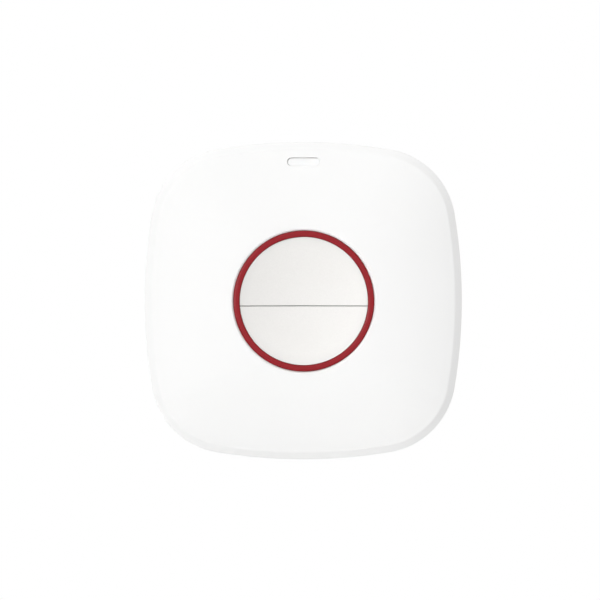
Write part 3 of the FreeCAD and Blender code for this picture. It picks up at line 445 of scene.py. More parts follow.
@dataclass(frozen=True)
class BoardFinish(Finish):
    """Solder mask over copper: paler where tracks run beneath it."""

    track: Colour = (0.045, 0.24, 0.11)
    pitch: float = 1.6
    run: float = 4.5
    track_width: float = 0.16
    track_edge: float = 0.2
    stagger: float = 0.37
    grain_share: float = 0.2

    def dress(self, nodes: Nodes) -> None:
        """Give the shader its mask, the tracks beneath it and their edges.

        Args:
            nodes: The material that is being made.
        """
        tiles = nodes.add("TexBrick", {
            "Scale": 1 / (self.pitch * MM), "Brick Width": self.run, "Row Height": 1.0,
            "Mortar Size": self.track_width, "Mortar Smooth": self.track_edge})
        tiles.offset = self.stagger
        turned = nodes.add("Mapping", {"Rotation": (math.radians(90), 0, 0)})
        nodes.join(nodes.place, turned.inputs["Vector"])
        nodes.join(turned.outputs["Vector"], tiles.inputs["Vector"])
        tracks = tiles.outputs["Fac"]
        nodes.feed("Base Color", nodes.blend(tracks, self.colour, self.track))
        fine = nodes.relief(nodes.noise(self.grain), self.depth, self.grain_share)
        nodes.feed("Normal", nodes.relief(tracks, self.depth, below=fine))
        self.vary_gloss(nodes, nodes.noise(self.patch))


FINISHES: dict[Slot, Finish] = {
    Slot.COVER: Finish("satin white cover", (0.935, 0.935, 0.93), 0.6, grain=0.22, depth=0.002,
                       wander=0.003, patch=14.0, gloss_spread=0.03),
    Slot.HOUSING: SparkedFinish("white housing, spark eroded", (0.9, 0.9, 0.895), 0.55, grain=0.35,
                                depth=0.02, patch=12.0),
    # The keys' finish has painted shade towards the rim.
    Slot.KEY: RimShadedFinish("warm white key, fine matt", (0.872, 0.859, 0.839), 0.65, grain=0.42,
                           depth=0.012, speck=0.022, patch=7.0),
    Slot.RING: Finish("deep red ring", (0.285, 0.006, 0.012), 0.36, depth=0.003, wander=0.05, patch=6.0,
                      specular=0.3),
    Slot.FRAME: Finish("grey frame", (0.2, 0.2, 0.21), 0.5, depth=0.006, wander=0.05),
    Slot.LENS: ClearedFinish("milky light pipe", (0.965, 0.965, 0.96), 0.25, grain=0.8, depth=0.002,
                             wander=0.01),
    Slot.BOARD: BoardFinish("green solder mask", (0.02, 0.15, 0.065), 0.32, grain=0.25, depth=0.03),
    Slot.DARK: Finish("dark moulding", (0.03, 0.03, 0.034), 0.45, depth=0.006, wander=0.12, patch=4.0),
    Slot.STEEL: MetalFinish("plated steel", (0.62, 0.62, 0.61), 0.28, grain=0.25, depth=0.002,
                            gloss_spread=0.08),
    Slot.CAN: MetalFinish("drawn aluminium", (0.77, 0.77, 0.78), 0.35, depth=0.003, line=(1.0, 1.0, 0.04),
                          gloss_spread=0.07),
    Slot.STRIP: MetalFinish("stamped brass", (0.72, 0.55, 0.28), 0.3, grain=0.25, depth=0.002,
                            line=(0.04, 1.0, 1.0), gloss_spread=0.08),
    Slot.CERAMIC: Finish("fired ceramic", (0.45, 0.33, 0.22), 0.5, grain=0.12, depth=0.01, wander=0.08,
                         patch=0.8),
}


class Paintbox:
    """The material of each slot, made when it is first asked for."""

    def __init__(self) -> None:
        """Start with no material made."""
        self.made: dict[Slot, Material] = {}

    def material(self, slot: Slot) -> Material:
        """The material of a slot.

        Args:
            slot: The slot.

        Returns:
            Its material.
        """
        if slot not in self.made:
            self.made[slot] = FINISHES[slot].material()
        return self.made[slot]

    def dress_solids(self) -> None:
        """Give every solid of the frame the finish of its slot."""
        for part in frame["record"]["subparts"]:
            for place in frame["nodes"][part["node"]].material_slots:
                place.material = self.material(Slot(part["material_slot"]))
            log.info("%s: %s", part["node"], part["material_slot"])


# Shaping


class Moulding:
    """One piece while it is shaped: a bmesh in millimetres, in the housing's own directions."""

    def __init__(self, name: str) -> None:
        """Start an empty piece.

        Args:
            name: The piece's name.
        """
        self.name = name
        self.mesh: BMesh = bmesh.new()

    def bridge(self, *loops: Loop) -> None:
        """Join each loop to the next one by a band of faces."""
        for first, second in zip(loops, loops[1:]):
            bmesh.ops.bridge_loops(self.mesh, edges=[*first, *second])

    def grow(self, loop: Loop, place: Place) -> tuple[Loop, list[BMFace]]:
        """Draw a loop out into a band of faces.

        Args:
            loop: The loop that the band starts from.
            place: Where each new vertex goes, told by the place of the one it comes from.

        Returns:
            The band's far loop and its faces.
        """
        grown = bmesh.ops.extrude_edge_only(self.mesh, edges=loop)["geom"]
        verts = [item for item in grown if isinstance(item, BMVert)]
        for vert in verts:
            vert.co = place(vert.co)
        return edges_of(verts), [item for item in grown if isinstance(item, BMFace)]

    def close(self, loop: Loop) -> None:
        """Fill a loop with one flat face."""
        bmesh.ops.edgeloop_fill(self.mesh, edges=loop)

    def sink(self, faces: list[BMFace], place: Place) -> None:
        """Draw a patch of faces into a recess with walls of its own.

        Args:
            faces: The patch, which becomes the recess's floor.
            place: Where each of the floor's vertices goes, told by its place.
        """
        grown = bmesh.ops.extrude_face_region(self.mesh, geom=faces)["geom"]
        bmesh.ops.delete(self.mesh, geom=faces, context="FACES")
        for vert in (item for item in grown if isinstance(item, BMVert)):
            vert.co = place(vert.co)

    def pierce(self, faces: list[BMFace], near: Callable[[Vector], bool], hole: Loop, place: Place) -> Loop:
        """Open a window in a wall and lead its edge to that of a hole.

        Args:
            faces: The wall's faces.
            near: Whether a corner of the wall lies so near the hole that its faces have to go.
            hole: The hole's edge, as it is drawn.
            place: Where each of its vertices goes, told by its place.

        Returns:
            The hole's edge, in its place.
        """
        window = [face for face in faces if any(near(vert.co) for vert in face.verts)]
        border = list(dict.fromkeys(edge for face in window for edge in face.edges))
        bmesh.ops.delete(self.mesh, geom=window, context="FACES")
        place_loop(hole, place)
        self.bridge([edge for edge in border if edge.is_valid and edge.is_boundary], hole)
        return hole

    def bevel(self, edges: Iterable[BMEdge], width: float, segments: int = 3) -> None:
        """Round a set of edges.

        Args:
            edges: The edges.
            width: How far the rounding reaches from each edge.
            segments: How many faces it has across.
        """
        bmesh.ops.bevel(self.mesh, geom=list(edges), offset=width, offset_type="OFFSET", segments=segments,
                        profile=0.5, affect="EDGES", clamp_overlap=True, material=-1)

    def edges_where(self, test: Callable[[Vector], bool]) -> Loop:
        """Every edge with both ends where a test holds."""
        return [edge for edge in self.mesh.edges if all(test(vert.co) for vert in edge.verts)]

    def circle(self, radius: float, level: float, centre: Pair = (0.0, 0.0), segments: int = 32) -> Loop:
        """A level circle of edges.

        Args:
            radius: Its radius.
            level: Its distance from the wall.
            centre: Its place across and up.
            segments: How many edges it has.

        Returns:
            The circle's edges.
        """
        ring = bmesh.ops.create_circle(self.mesh, segments=segments, radius=radius, cap_ends=False,
                                       matrix=Matrix.Translation((*centre, level)))
        return edges_of(ring["verts"])

    def turn(self, loop: Loop, section: list[Pair], centre: Pair = (0.0, 0.0)) -> Loop:
        """Draw a circle on along a section.

        Args:
            loop: The circle that it starts from.
            section: Radius and level of each further circle, in order.
            centre: The circles' place across and up.

        Returns:
            The last circle's edges.
        """
        for radius, level in section:
            loop, _ = self.grow(loop, lambda spot: at_level(at_radius(spot, radius, centre=centre), level))
        return loop

    def tube(self, centre: Pair, outer: float, inner: float, bottom: float, top: float) -> None:
        """A closed tube that stands out from the wall."""
        section = [(outer, top), (inner, top), (inner, bottom), (outer, bottom)]
        self.turn(self.circle(outer, bottom, centre), section, centre)

    def post(self, centre: Pair, radius: float, bottom: float, top: float) -> None:
        """A closed round post that stands out from the wall.

        Args:
            centre: Its place across and up.
            radius: Its radius.
            bottom: The level of its foot.
            top: The level of its top.
        """
        foot = self.circle(radius, bottom, centre)
        self.close(self.turn(foot, [(radius, top)], centre))
        self.close(foot)

    def box(self, low: Spot, high: Spot, turn: float = 0.0) -> None:
        """A plain block between two corners, for a rib or lug inside.

        Args:
            low: Its lowest corner.
            high: Its highest corner.
            turn: How far it is then swung about the middle of the piece, in degrees.
        """
        middle, spans = (Vector(low) + Vector(high)) / 2, Vector(high) - Vector(low)
        swing = Matrix.Rotation(math.radians(turn), 4, "Z")
        bmesh.ops.create_cube(self.mesh, size=1.0,
                              matrix=swing @ Matrix.Translation(middle) @ Matrix.Diagonal((*spans, 1)))

    def prism(self, corners: list[Vector], along: Vector) -> None:
        """A closed prism.

        Args:
            corners: The corners of its flat face, in order.
            along: How far and which way the face is drawn out.
        """
        face = self.mesh.faces.new([self.mesh.verts.new(corner) for corner in corners])
        grown = bmesh.ops.extrude_face_region(self.mesh, geom=[face], use_keep_orig=True)
        moved = [item for item in grown["geom"] if isinstance(item, BMVert)]
        bmesh.ops.translate(self.mesh, verts=moved, vec=along)

    def finish(self, slot: Slot, body: Body, paints: Paintbox, stands_for: tuple[str, ...]) -> Object:
        """Weld, stand up and dress the piece, and set it on its body.

        Args:
            slot: The finish that it takes.
            body: The body that it rides on.
            paints: Where its material comes from.
            stands_for: The solids that it replaces.

        Returns:
            The finished object.
        """
        bmesh.ops.remove_doubles(self.mesh, verts=self.mesh.verts[:], dist=WELD)
        bmesh.ops.recalc_face_normals(self.mesh, faces=self.mesh.faces[:])
        for face in self.mesh.faces:
            face.smooth = True
        for edge in self.mesh.edges:
            edge.smooth = not (edge.is_manifold and edge.calc_face_angle() > SHARP_ANGLE)
        bmesh.ops.transform(self.mesh, matrix=STAND_UP, verts=self.mesh.verts[:])
        data = bpy.data.meshes.new(self.name)
        self.mesh.to_mesh(data)
        self.mesh.free()
        piece = bpy.data.objects.new(self.name, data)
        bpy.context.scene.collection.objects.link(piece)
        data.materials.append(paints.material(slot))
        weighting = piece.modifiers.new("even normals", "WEIGHTED_NORMAL")
        weighting.keep_sharp = True
        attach(piece, body.value)
        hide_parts(*stands_for)
        self.report(piece, stands_for)
        return piece

    def report(self, piece: Object, stands_for: tuple[str, ...]) -> None:
        """Log the piece's size and how far its box lies from that of its solids.

        Args:
            piece: The finished object.
            stands_for: The solids that it replaces.
        """
        low, high = box_round(Vector(corner) for corner in piece.bound_box)
        solid_low, solid_high = box_round(corner for node in stands_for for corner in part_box(node))
        apart = max(map(abs, [*(low - solid_low), *(high - solid_high)])) / MM
        log.info("%s: %d faces, %s mm, %.2f mm from its solids' box", piece.name, len(piece.data.polygons),
                 " x ".join(f"{span / MM:.1f}" for span in high - low), apart)


def box_round(corners: Iterable[Vector]) -> tuple[Vector, Vector]:
    """The lowest and the highest corner of the box round some points."""
    axes = list(zip(*corners))
    return Vector([min(axis) for axis in axes]), Vector([max(axis) for axis in axes])


def edges_of(verts: Iterable[BMVert]) -> Loop:
    """Find the edges between some vertices.

    Args:
        verts: The vertices.

    Returns:
        Every edge that joins two of them, in an order that is the same each run.
    """
    chosen = dict.fromkeys(verts)
    edges = (edge for vert in chosen for edge in vert.link_edges if edge.other_vert(vert) in chosen)
    return list(dict.fromkeys(edges))


def place_loop(loop: Loop, place: Place) -> None:
    """Move each vertex of a loop."""
    for vert in dict.fromkeys(vert for edge in loop for vert in edge.verts):
        vert.co = place(vert.co)


def at_level(spot: Vector, level: float) -> Vector:
    """The same spot, at a level."""
    return Vector((spot.x, spot.y, level))


def at_radius(spot: Vector, radius: float, rise: float = 0.0, centre: Pair = (0.0, 0.0)) -> Vector:
    """Move a spot to a distance from a centre.

    Args:
        spot: The spot.
        radius: How far from the centre it goes.
        rise: How far it moves out from the wall.
        centre: The centre's place across and up.

    Returns:
        The moved spot.
    """
    middle = Vector(centre)
    flat = middle + (spot.xy - middle).normalized() * radius
    return Vector((flat.x, flat.y, spot.z + rise))


@dataclass(frozen=True)
class Move:
    """One part of a closed line: an arc about a centre, or a straight run."""

    steps: int
    centre: Vector = Vector((0, 0, 0))
    angle: float = 0.0
    shift: Vector = Vector((0, 0, 0))


def swept_loop(mesh: BMesh, start: Vector, moves: Iterable[Move]) -> Loop:
    """Sweep one vertex along a closed line.

    Args:
        mesh: The mesh that gets the loop.
        start: Where the line starts and ends.
        moves: The line's arcs and straight runs.

    Returns:
        The loop's edges.
    """
    first = last = mesh.verts.new(start)
    verts = [first]
    for move in moves:
        for _ in range(move.steps):
            swept = bmesh.ops.spin(mesh, geom=[last], cent=move.centre, axis=(0, 0, 1), steps=1,
                                   angle=move.angle / move.steps, dvec=move.shift / move.steps)
            last = next(item for item in swept["geom_last"] if isinstance(item, BMVert))
            verts.append(last)
    bmesh.ops.weld_verts(mesh, targetmap={verts.pop(): first})
    return edges_of(verts)


@dataclass(frozen=True)
class Outline:
    """The housing seen from the front: four bulging sides and four round corners, all tangent."""

    half: float
    side: float
    corner: float

    @property
    def bulge(self) -> float:
        """How far each side arc's centre lies past the middle."""
        return self.side - self.half

    @property
    def corner_centre(self) -> float:
        """How far across and up the corner arc's centre lies."""
        swing = self.side - self.corner
        return (math.sqrt(2 * swing ** 2 - self.bulge ** 2) - self.bulge) / 2

    @property
    def half_turn(self) -> float:
        """Half the angle of a side arc."""
        return math.atan2(self.corner_centre, self.corner_centre + self.bulge)

    def inset(self, distance: float) -> Outline:
        """The outline moved inwards by the same distance all round."""
        return Outline(self.half - distance, self.side - distance, self.corner - distance)

    def scale_through(self, across: float, up: float) -> float:
        """The scale at which the outline, shrunk towards the middle, passes through a point.

        Args:
            across: The point's place across.
            up: The point's place up.

        Returns:
            1 on the outline itself and 0 in the middle.
        """
        far, near = max(abs(across), abs(up)), min(abs(across), abs(up))
        square = far ** 2 + near ** 2
        end_up = self.side * math.sin(self.half_turn)
        end_across = self.side * math.cos(self.half_turn) - self.bulge
        if near * end_across <= far * end_up:
            spread = self.side ** 2 - self.bulge ** 2
            lean = self.bulge * far
            return (lean + math.sqrt(lean ** 2 + spread * square)) / spread
        spread = 2 * self.corner_centre ** 2 - self.corner ** 2
        lean = self.corner_centre * (far + near)
        return (lean - math.sqrt(lean ** 2 - spread * square)) / spread

    def passes(self, spot: Vector, level: float) -> bool:
        """Whether the outline, at a level, passes through a spot."""
        return abs(spot.z - level) < WELD and abs(self.scale_through(spot.x, spot.y) - 1) < WELD

    def draw(self, mesh: BMesh, level: float) -> Loop:
        """Sweep a vertex round the eight arcs.

        Args:
            mesh: The mesh that gets the loop.
            level: The loop's distance from the wall.

        Returns:
            The loop's edges.
        """
        turn = self.half_turn
        start = Vector((self.side * math.cos(turn) - self.bulge, -self.side * math.sin(turn), level))
        moves = []
        for quarter in range(4):
            ahead = Matrix.Rotation(quarter * math.pi / 2, 3, "Z")
            side_centre = ahead @ Vector((-self.bulge, 0, level))
            corner_centre = ahead @ Vector((self.corner_centre, self.corner_centre, level))
            moves += [Move(SIDE_STEPS, side_centre, 2 * turn),
                      Move(CORNER_STEPS, corner_centre, math.pi / 2 - 2 * turn)]
        return swept_loop(mesh, start, moves)

    def onto(self, spot: Vector) -> Vector:
        """The point of the outline in the same direction from the middle as a spot, at its level."""
        scale = self.scale_through(spot.x, spot.y)
        return Vector((spot.x / scale, spot.y / scale, spot.z))


@dataclass(frozen=True)
class Pill:
    """A level slot with round ends."""

    width: float
    height: float
    up: float

    def grown(self, margin: float) -> Pill:
        """The same slot, larger by a margin all round."""
        return Pill(self.width + margin * 2, self.height + margin * 2, self.up)

    def passes(self, spot: Vector) -> bool:
        """Whether the slot's edge passes in front of or behind a spot."""
        across = max(abs(spot.x) - (self.width - self.height) / 2, 0)
        return abs(math.hypot(across, spot.y - self.up) - self.height / 2) < NEAR

    def draw(self, mesh: BMesh, level: float) -> Loop:
        """Sweep a vertex round the two ends and along the two straight runs.

        Args:
            mesh: The mesh that gets the loop.
            level: The loop's distance from the wall.

        Returns:
            The loop's edges.
        """
        radius = self.height / 2
        reach = self.width / 2 - radius
        right, left = Vector((reach, self.up, level)), Vector((-reach, self.up, level))
        moves = [Move(PILL_END_STEPS, right, math.pi), Move(PILL_RUN_STEPS, shift=left - right),
                 Move(PILL_END_STEPS, left, math.pi), Move(PILL_RUN_STEPS, shift=right - left)]
        return swept_loop(mesh, right - Vector((0, radius, 0)), moves)


# Sub-assemblies


@dataclass
class Casing:
    """The front cover and what closes it: sizes shared by everything that sits in the cover."""

    body_width: float = 76.0
    side_radius: float = 125.0
    corner_radius: float = 18.7
    front: float = 22.3
    parting: float = 12.0
    land_height: float = 2.1
    band_width: float = 1.7
    band_rise: float = 2.0
    dome_power: float = 3.0
    skin_steps: int = 26
    wall: float = 2.0
    rebate_inset: float = 0.95
    rebate_height: float = 1.95
    roof_inset: float = 1.2
    shoulder_inset: float = 2.35
    collar_level: float = 18.0
    collar_width: float = 1.9
    hole_radius: float = 16.85
    hole_chamfer: float = 0.44
    slot: Pill = field(default_factory=lambda: Pill(7.75, 1.95, 33.25))
    slot_flare: float = 0.08
    slot_depth: float = 0.35
    slot_seat: float = 0.8
    seat_level: float = 14.3
    window_margin: float = 0.35
    edge_round: float = 0.12
    band_round: float = 0.32
    hole_round: float = 0.07
    slot_round: float = 0.04
    boss_place: float = 21.0
    boss_radius: float = 3.0
    pilot_radius: float = 1.1
    boss_foot: float = 14.5
    rib_thickness: float = 1.2
    rib_overlap: float = 0.3
    hook_starts: Pair = (-17.0, 11.0)
    hook_width: float = 6.0
    hook_inset: float = 4.2
    hook_thickness: float = 2.0
    hook_reach: float = 1.4
    hook_foot: float = 9.8
    hook_height: float = 1.1
    lug_width: float = 8.0
    lug_inset: float = 4.3
    lug_thickness: float = 2.5
    lug_foot: float = 4.5
    lug_root_inset: float = 5.5

    @property
    def edge(self) -> Outline:
        """The outline at the cover's edge."""
        return Outline(self.body_width / 2, self.side_radius, self.corner_radius)

    @property
    def rim(self) -> Outline:
        """The outline where the dome starts."""
        return self.edge.inset(self.band_width)

    @property
    def land(self) -> float:
        """The level at which the sloped band starts."""
        return self.parting + self.land_height

    @property
    def rim_level(self) -> float:
        """The level at which the dome starts."""
        return self.land + self.band_rise

    @property
    def mouth_radius(self) -> float:
        """The hole's radius at the front, where its chamfer ends."""
        return self.hole_radius + self.hole_chamfer

    @property
    def boss_spots(self) -> list[Pair]:
        """Where the four screw bosses stand, across and up."""
        places = (-self.boss_place, self.boss_place)
        return [(across, up) for across in places for up in places]

    def skin_level(self, across: float, up: float) -> float:
        """How far from the wall the domed front lies at a point."""
        scale = self.rim.scale_through(across, up)
        return self.front - (self.front - self.rim_level) * scale ** self.dome_power

    def skin_spot(self, spot: Vector, drop: float = 0.0) -> Vector:
        """The point of the dome in front of a spot, or a drop beneath it."""
        return Vector((spot.x, spot.y, self.skin_level(spot.x, spot.y) - drop))

    def skin(self, piece: Moulding, loop: Loop, goal: Place, drop: float) -> tuple[Loop, list[BMFace]]:
        """Draw a loop across the dome to its goal in even steps.

        Args:
            piece: The piece that gets the skin.
            loop: The loop that it starts from.
            goal: Where each vertex ends, told by its place.
            drop: How far the skin lies under the outside of the dome.

        Returns:
            The far loop and the skin's faces.
        """
        faces: list[BMFace] = []
        for left in range(self.skin_steps, 0, -1):
            share = 1 / left
            loop, band = piece.grow(loop, lambda spot: self.skin_spot(spot.lerp(goal(spot), share), drop))
            faces += band
        return loop, faces

    def open_slot(self, piece: Moulding, faces: list[BMFace], opening: Pill, drop: float) -> Loop:
        """Cut a window into the skin and lead its edge to the slot's.

        Args:
            piece: The piece that the skin is part of.
            faces: The skin's faces.
            opening: The slot.
            drop: How far the skin lies under the outside of the dome.

        Returns:
            The loop of edges at the slot.
        """
        window = opening.grown(self.window_margin)

        def near(spot: Vector) -> bool:
            """Whether a spot lies in the window."""
            return abs(spot.x) < window.width / 2 and abs(spot.y - window.up) < window.height / 2

        hole = opening.draw(piece.mesh, 0.0)
        return piece.pierce(faces, near, hole, lambda spot: self.skin_spot(spot, drop))

    def make_cover(self, paints: Paintbox) -> Object:
        """Shape the cover: outer skin, hole, collar, roof, shoulder and rebate as one closed wall.

        Args:
            paints: Where its material comes from.

        Returns:
            The finished cover.
        """
        piece = Moulding("cover_moulding")
        edge, rim = self.edge, self.rim
        step = self.parting + self.rebate_height
        collar = self.hole_radius + self.collar_width
        roof, shoulder = rim.inset(self.roof_inset), edge.inset(self.shoulder_inset)

        foot = edge.draw(piece.mesh, self.parting)
        loop, _ = piece.grow(foot, lambda spot: at_level(spot, self.land))
        loop, _ = piece.grow(loop, lambda spot: self.skin_spot(rim.onto(spot)))
        loop, front = self.skin(piece, loop, lambda spot: at_radius(spot, self.mouth_radius), 0.0)
        loop, _ = piece.grow(loop, lambda spot: at_radius(spot, self.hole_radius, -self.hole_chamfer))
        loop, _ = piece.grow(loop, lambda spot: at_level(spot, self.collar_level))
        loop, _ = piece.grow(loop, lambda spot: at_radius(spot, collar))
        loop, _ = piece.grow(loop, lambda spot: self.skin_spot(spot, self.wall))
        loop, back = self.skin(piece, loop, roof.onto, self.wall)
        loop, _ = piece.grow(loop, lambda spot: at_level(shoulder.onto(spot), step))
        loop, _ = piece.grow(loop, edge.inset(self.rebate_inset).onto)
        loop, _ = piece.grow(loop, lambda spot: at_level(spot, self.parting))
        piece.bridge(loop, foot)

        seat = self.slot.grown(self.slot_seat)
        lip = self.open_slot(piece, front, self.slot.grown(self.slot_flare), 0.0)
        mouth = self.open_slot(piece, back, seat, self.wall)
        throat = self.slot.draw(piece.mesh, 0.0)
        place_loop(throat, lambda spot: self.skin_spot(spot, self.slot_depth))
        piece.bridge(lip, throat, self.slot.draw(piece.mesh, self.seat_level),
                     seat.draw(piece.mesh, self.seat_level), mouth)
        self.soften(piece)
        self.add_fixings(piece)
        return piece.finish(Slot.COVER, Body.HOUSING, paints, ("front_cover",))

    def soften(self, piece: Moulding) -> None:
        """Round the edges that show.

        Args:
            piece: The cover.
        """
        for outline, level, width, segments in ((self.rim, self.rim_level, self.band_round, 6),
                                                (self.edge, self.land, self.edge_round * 2, 3),
                                                (self.edge, self.parting, self.edge_round, 3)):
            piece.bevel(piece.edges_where(lambda spot: outline.passes(spot, level)), width, segments)
        for radius in (self.hole_radius, self.mouth_radius):
            piece.bevel(piece.edges_where(lambda spot: abs(spot.xy.length - radius) < NEAR
                                          and spot.z > self.collar_level + NEAR), self.hole_round, 2)
        lip = self.slot.grown(self.slot_flare)
        piece.bevel(piece.edges_where(lambda spot: lip.passes(spot) and spot.z > self.rim_level),
                    self.slot_round)

    def add_fixings(self, piece: Moulding) -> None:
        """Add screw bosses with their ribs, hooks and the closing lug, each rooted in the skin.

        Args:
            piece: The cover.
        """
        root = self.skin_level(self.boss_place, self.boss_place) - self.wall / 2
        for spot in self.boss_spots:
            piece.tube(spot, self.boss_radius, self.pilot_radius, self.boss_foot, root)
        near, side = self.hole_radius + self.collar_width / 2, self.rib_thickness / 2
        far = self.boss_place * math.sqrt(2) - self.boss_radius + self.rib_overlap
        for turn in (45, 135, 225, 315):
            piece.box((near, -side, self.collar_level), (far, side, root), turn)

        half = self.body_width / 2
        outer, foot = half - self.hook_inset, self.hook_foot
        inner, tip, top = outer - self.hook_thickness, outer + self.hook_reach, foot + self.hook_height
        root = self.skin_level(self.hook_starts[1] + self.hook_width / 2, outer) - self.wall / 2
        section = [(inner, foot), (outer, foot), (tip, foot + self.hook_height / 2), (tip, top),
                   (outer, top), (outer, root), (inner, root)]
        for start in self.hook_starts:
            corners = [Vector((start, up, level)) for up, level in section]
            piece.prism(corners, Vector((self.hook_width, 0, 0)))
        face, side = self.lug_inset - half, self.lug_width / 2
        root = self.skin_level(0, half - self.lug_root_inset) - self.wall / 2
        piece.box((-side, face, self.lug_foot), (side, face + self.lug_thickness, root))


@dataclass
class Tray:
    """The rear housing that stays on the wall, with the holes and catches that hold the rest."""

    casing: Casing
    back_inset: float = 3.0
    back_bevel: float = 1.0
    back_round: float = 0.3
    floor: float = 1.8
    wall: float = 2.0
    tongue_width: float = 0.9
    tongue_height: float = 1.8
    fixing_place: float = 26.0
    fixing_hole: float = 2.25
    fixing_pad: float = 5.0
    fixing_round: float = 0.2
    pad_height: float = 1.0
    pad_steps: int = 48
    closing_level: float = 7.0
    closing_head: float = 2.35
    closing_hole: float = 1.15
    closing_seat: float = 35.75
    outer_levels: tuple[float, ...] = (4.2, 7.0, 9.8)
    inner_levels: tuple[float, ...] = (11.2, 9.5, 7.0, 4.4)
    catch_levels: Pair = (9.5, 11.2)
    catch_spans: tuple[Pair, ...] = ((-17.3, -10.7), (10.7, 17.3))
    catch_from: float = 25.0
    catch_depth: float = 35.5
    root_depth: float = 0.3
    rib_place: float = 25.6
    rib_gap: float = 3.3
    rib_thickness: float = 1.2
    rib_height: float = 2.0
    support_radius: float = 3.3
    support_bore: float = 2.4
    support_top: float = 7.7
    tamper_place: float = 16.0
    tamper_radius: float = 3.0
    tamper_top: float = 3.15

    def inset_at(self, level: float) -> float:
        """How far the outside has drawn in at a level."""
        return self.back_inset * (1 - level / self.casing.parting)

    def outline_at(self, level: float, depth: float = 0.0) -> Outline:
        """The outline at a level, or a depth inside it."""
        return self.casing.edge.inset(self.inset_at(level) + depth)

    def rise(self, piece: Moulding, loop: Loop, levels: Iterable[float], depth: float
             ) -> tuple[Loop, list[BMFace]]:
        """Draw a loop along the sloped wall from level to level.

        Args:
            piece: The tray.
            loop: The loop that it starts from.
            levels: The levels, in order.
            depth: How far the loop lies inside the outside.

        Returns:
            The last loop and the wall's faces.
        """
        faces: list[BMFace] = []
        for level in levels:
            outline = self.outline_at(level, depth)
            loop, band = piece.grow(loop, lambda spot: at_level(outline.onto(spot), level))
            faces += band
        return loop, faces

    def on_bottom_wall(self, spot: Vector, depth: float) -> Vector:
        """Find a point of the bottom wall.

        Args:
            spot: The point's place across and up from the closing screw.
            depth: How far it lies inside the outside.

        Returns:
            The point.
        """
        level = self.closing_level + spot.y
        outline = self.outline_at(level, depth)
        return Vector((spot.x, outline.bulge - math.sqrt(outline.side ** 2 - spot.x ** 2), level))

    def open_wall(self, piece: Moulding, faces: list[BMFace], radius: float, depth: float) -> Loop:
        """Cut a round hole for the closing screw into one side of the bottom wall.

        Args:
            piece: The tray.
            faces: The wall's faces on that side.
            radius: The hole's radius.
            depth: How far that side lies inside the outside.

        Returns:
            The hole's edges.
        """
        def near(spot: Vector) -> bool:
            """Whether a spot lies in the square round the hole."""
            return abs(spot.x) < radius and abs(spot.z - self.closing_level) < radius and spot.y < 0

        hole = piece.circle(radius, 0.0)
        return piece.pierce(faces, near, hole, lambda spot: self.on_bottom_wall(spot, depth))

    def make(self, paints: Paintbox) -> Object:
        """Shape the tray as one closed wall, with what stands on its floor.

        Args:
            paints: Where its material comes from.

        Returns:
            The finished tray.
        """
        piece = Moulding("wall_tray")
        edge, parting = self.casing.edge, self.casing.parting
        back = edge.inset(self.back_inset + self.back_bevel).draw(piece.mesh, 0.0)
        loop, _ = self.rise(piece, back, (self.back_bevel,), 0.0)
        loop, outside = self.rise(piece, loop, (*self.outer_levels, parting), 0.0)
        loop, _ = piece.grow(loop, edge.inset(self.wall - self.tongue_width).onto)
        loop, _ = piece.grow(loop, lambda spot: at_level(spot, parting + self.tongue_height))
        loop, _ = piece.grow(loop, edge.inset(self.wall).onto)
        loop, inside = self.rise(piece, loop, (parting, *self.inner_levels, self.floor), self.wall)

        pads, holes, pad_top = [], [], self.floor + self.pad_height
        section = [(self.fixing_pad, pad_top), (self.fixing_hole, pad_top), (self.fixing_hole, 0.0)]
        for spot in ((-self.fixing_place, 0.0), (self.fixing_place, 0.0)):
            pad = piece.circle(self.fixing_pad, self.floor, spot, self.pad_steps)
            pads += pad
            holes += piece.turn(pad, section, spot)
        bmesh.ops.triangle_fill(piece.mesh, edges=loop + pads, use_beauty=True)
        bmesh.ops.triangle_fill(piece.mesh, edges=back + holes, use_beauty=True)

        mouth = self.open_wall(piece, outside, self.closing_head, 0.0)
        end = self.open_wall(piece, inside, self.closing_hole, self.wall)
        seat, _ = piece.grow(mouth, lambda spot: Vector((spot.x, -self.closing_seat, spot.z)))
        axis = Vector((0, -self.closing_seat, self.closing_level))
        step, _ = piece.grow(seat, lambda spot: axis.lerp(spot, self.closing_hole / self.closing_head))
        piece.bridge(step, end)
        self.cut_catches(piece)
        self.soften(piece)
        self.furnish(piece)
        return piece.finish(Slot.HOUSING, Body.HOUSING, paints, ("rear_housing",))

    def cut_catches(self, piece: Moulding) -> None:
        """Sink the two recesses that catch the cover's hooks into the inside of the top wall.

        Args:
            piece: The tray.
        """
        low, high = self.catch_levels

        def in_band(face: BMFace) -> bool:
            """Whether a face lies on the inside of the top wall, level with the hooks."""
            centre = face.calc_center_median()
            return (self.catch_from < centre.y < self.catch_depth and low < centre.z < high
                    and abs(face.normal.z) < 0.5)

        for left, right in self.catch_spans:
            for across in (left, right):
                faces = [face for face in piece.mesh.faces if in_band(face)]
                parts = dict.fromkeys(part for face in faces for part in (*face.verts, *face.edges, face))
                bmesh.ops.bisect_plane(piece.mesh, geom=list(parts), plane_co=(across, 0, 0),
                                       plane_no=(1, 0, 0))
            patch = [face for face in piece.mesh.faces
                     if in_band(face) and left < face.calc_center_median().x < right]
            piece.sink(patch, lambda spot: Vector((spot.x, self.catch_depth, spot.z)))

    def soften(self, piece: Moulding) -> None:
        """Round the edges that show.

        Args:
            piece: The tray.
        """
        bmesh.ops.recalc_face_normals(piece.mesh, faces=piece.mesh.faces[:])
        for level, depth, width in ((0.0, self.back_bevel, self.back_round),
                                    (self.back_bevel, 0.0, self.back_round),
                                    (self.casing.parting, 0.0, self.casing.edge_round)):
            outline = self.outline_at(level, depth)
            piece.bevel(piece.edges_where(lambda spot: outline.passes(spot, level)), width)

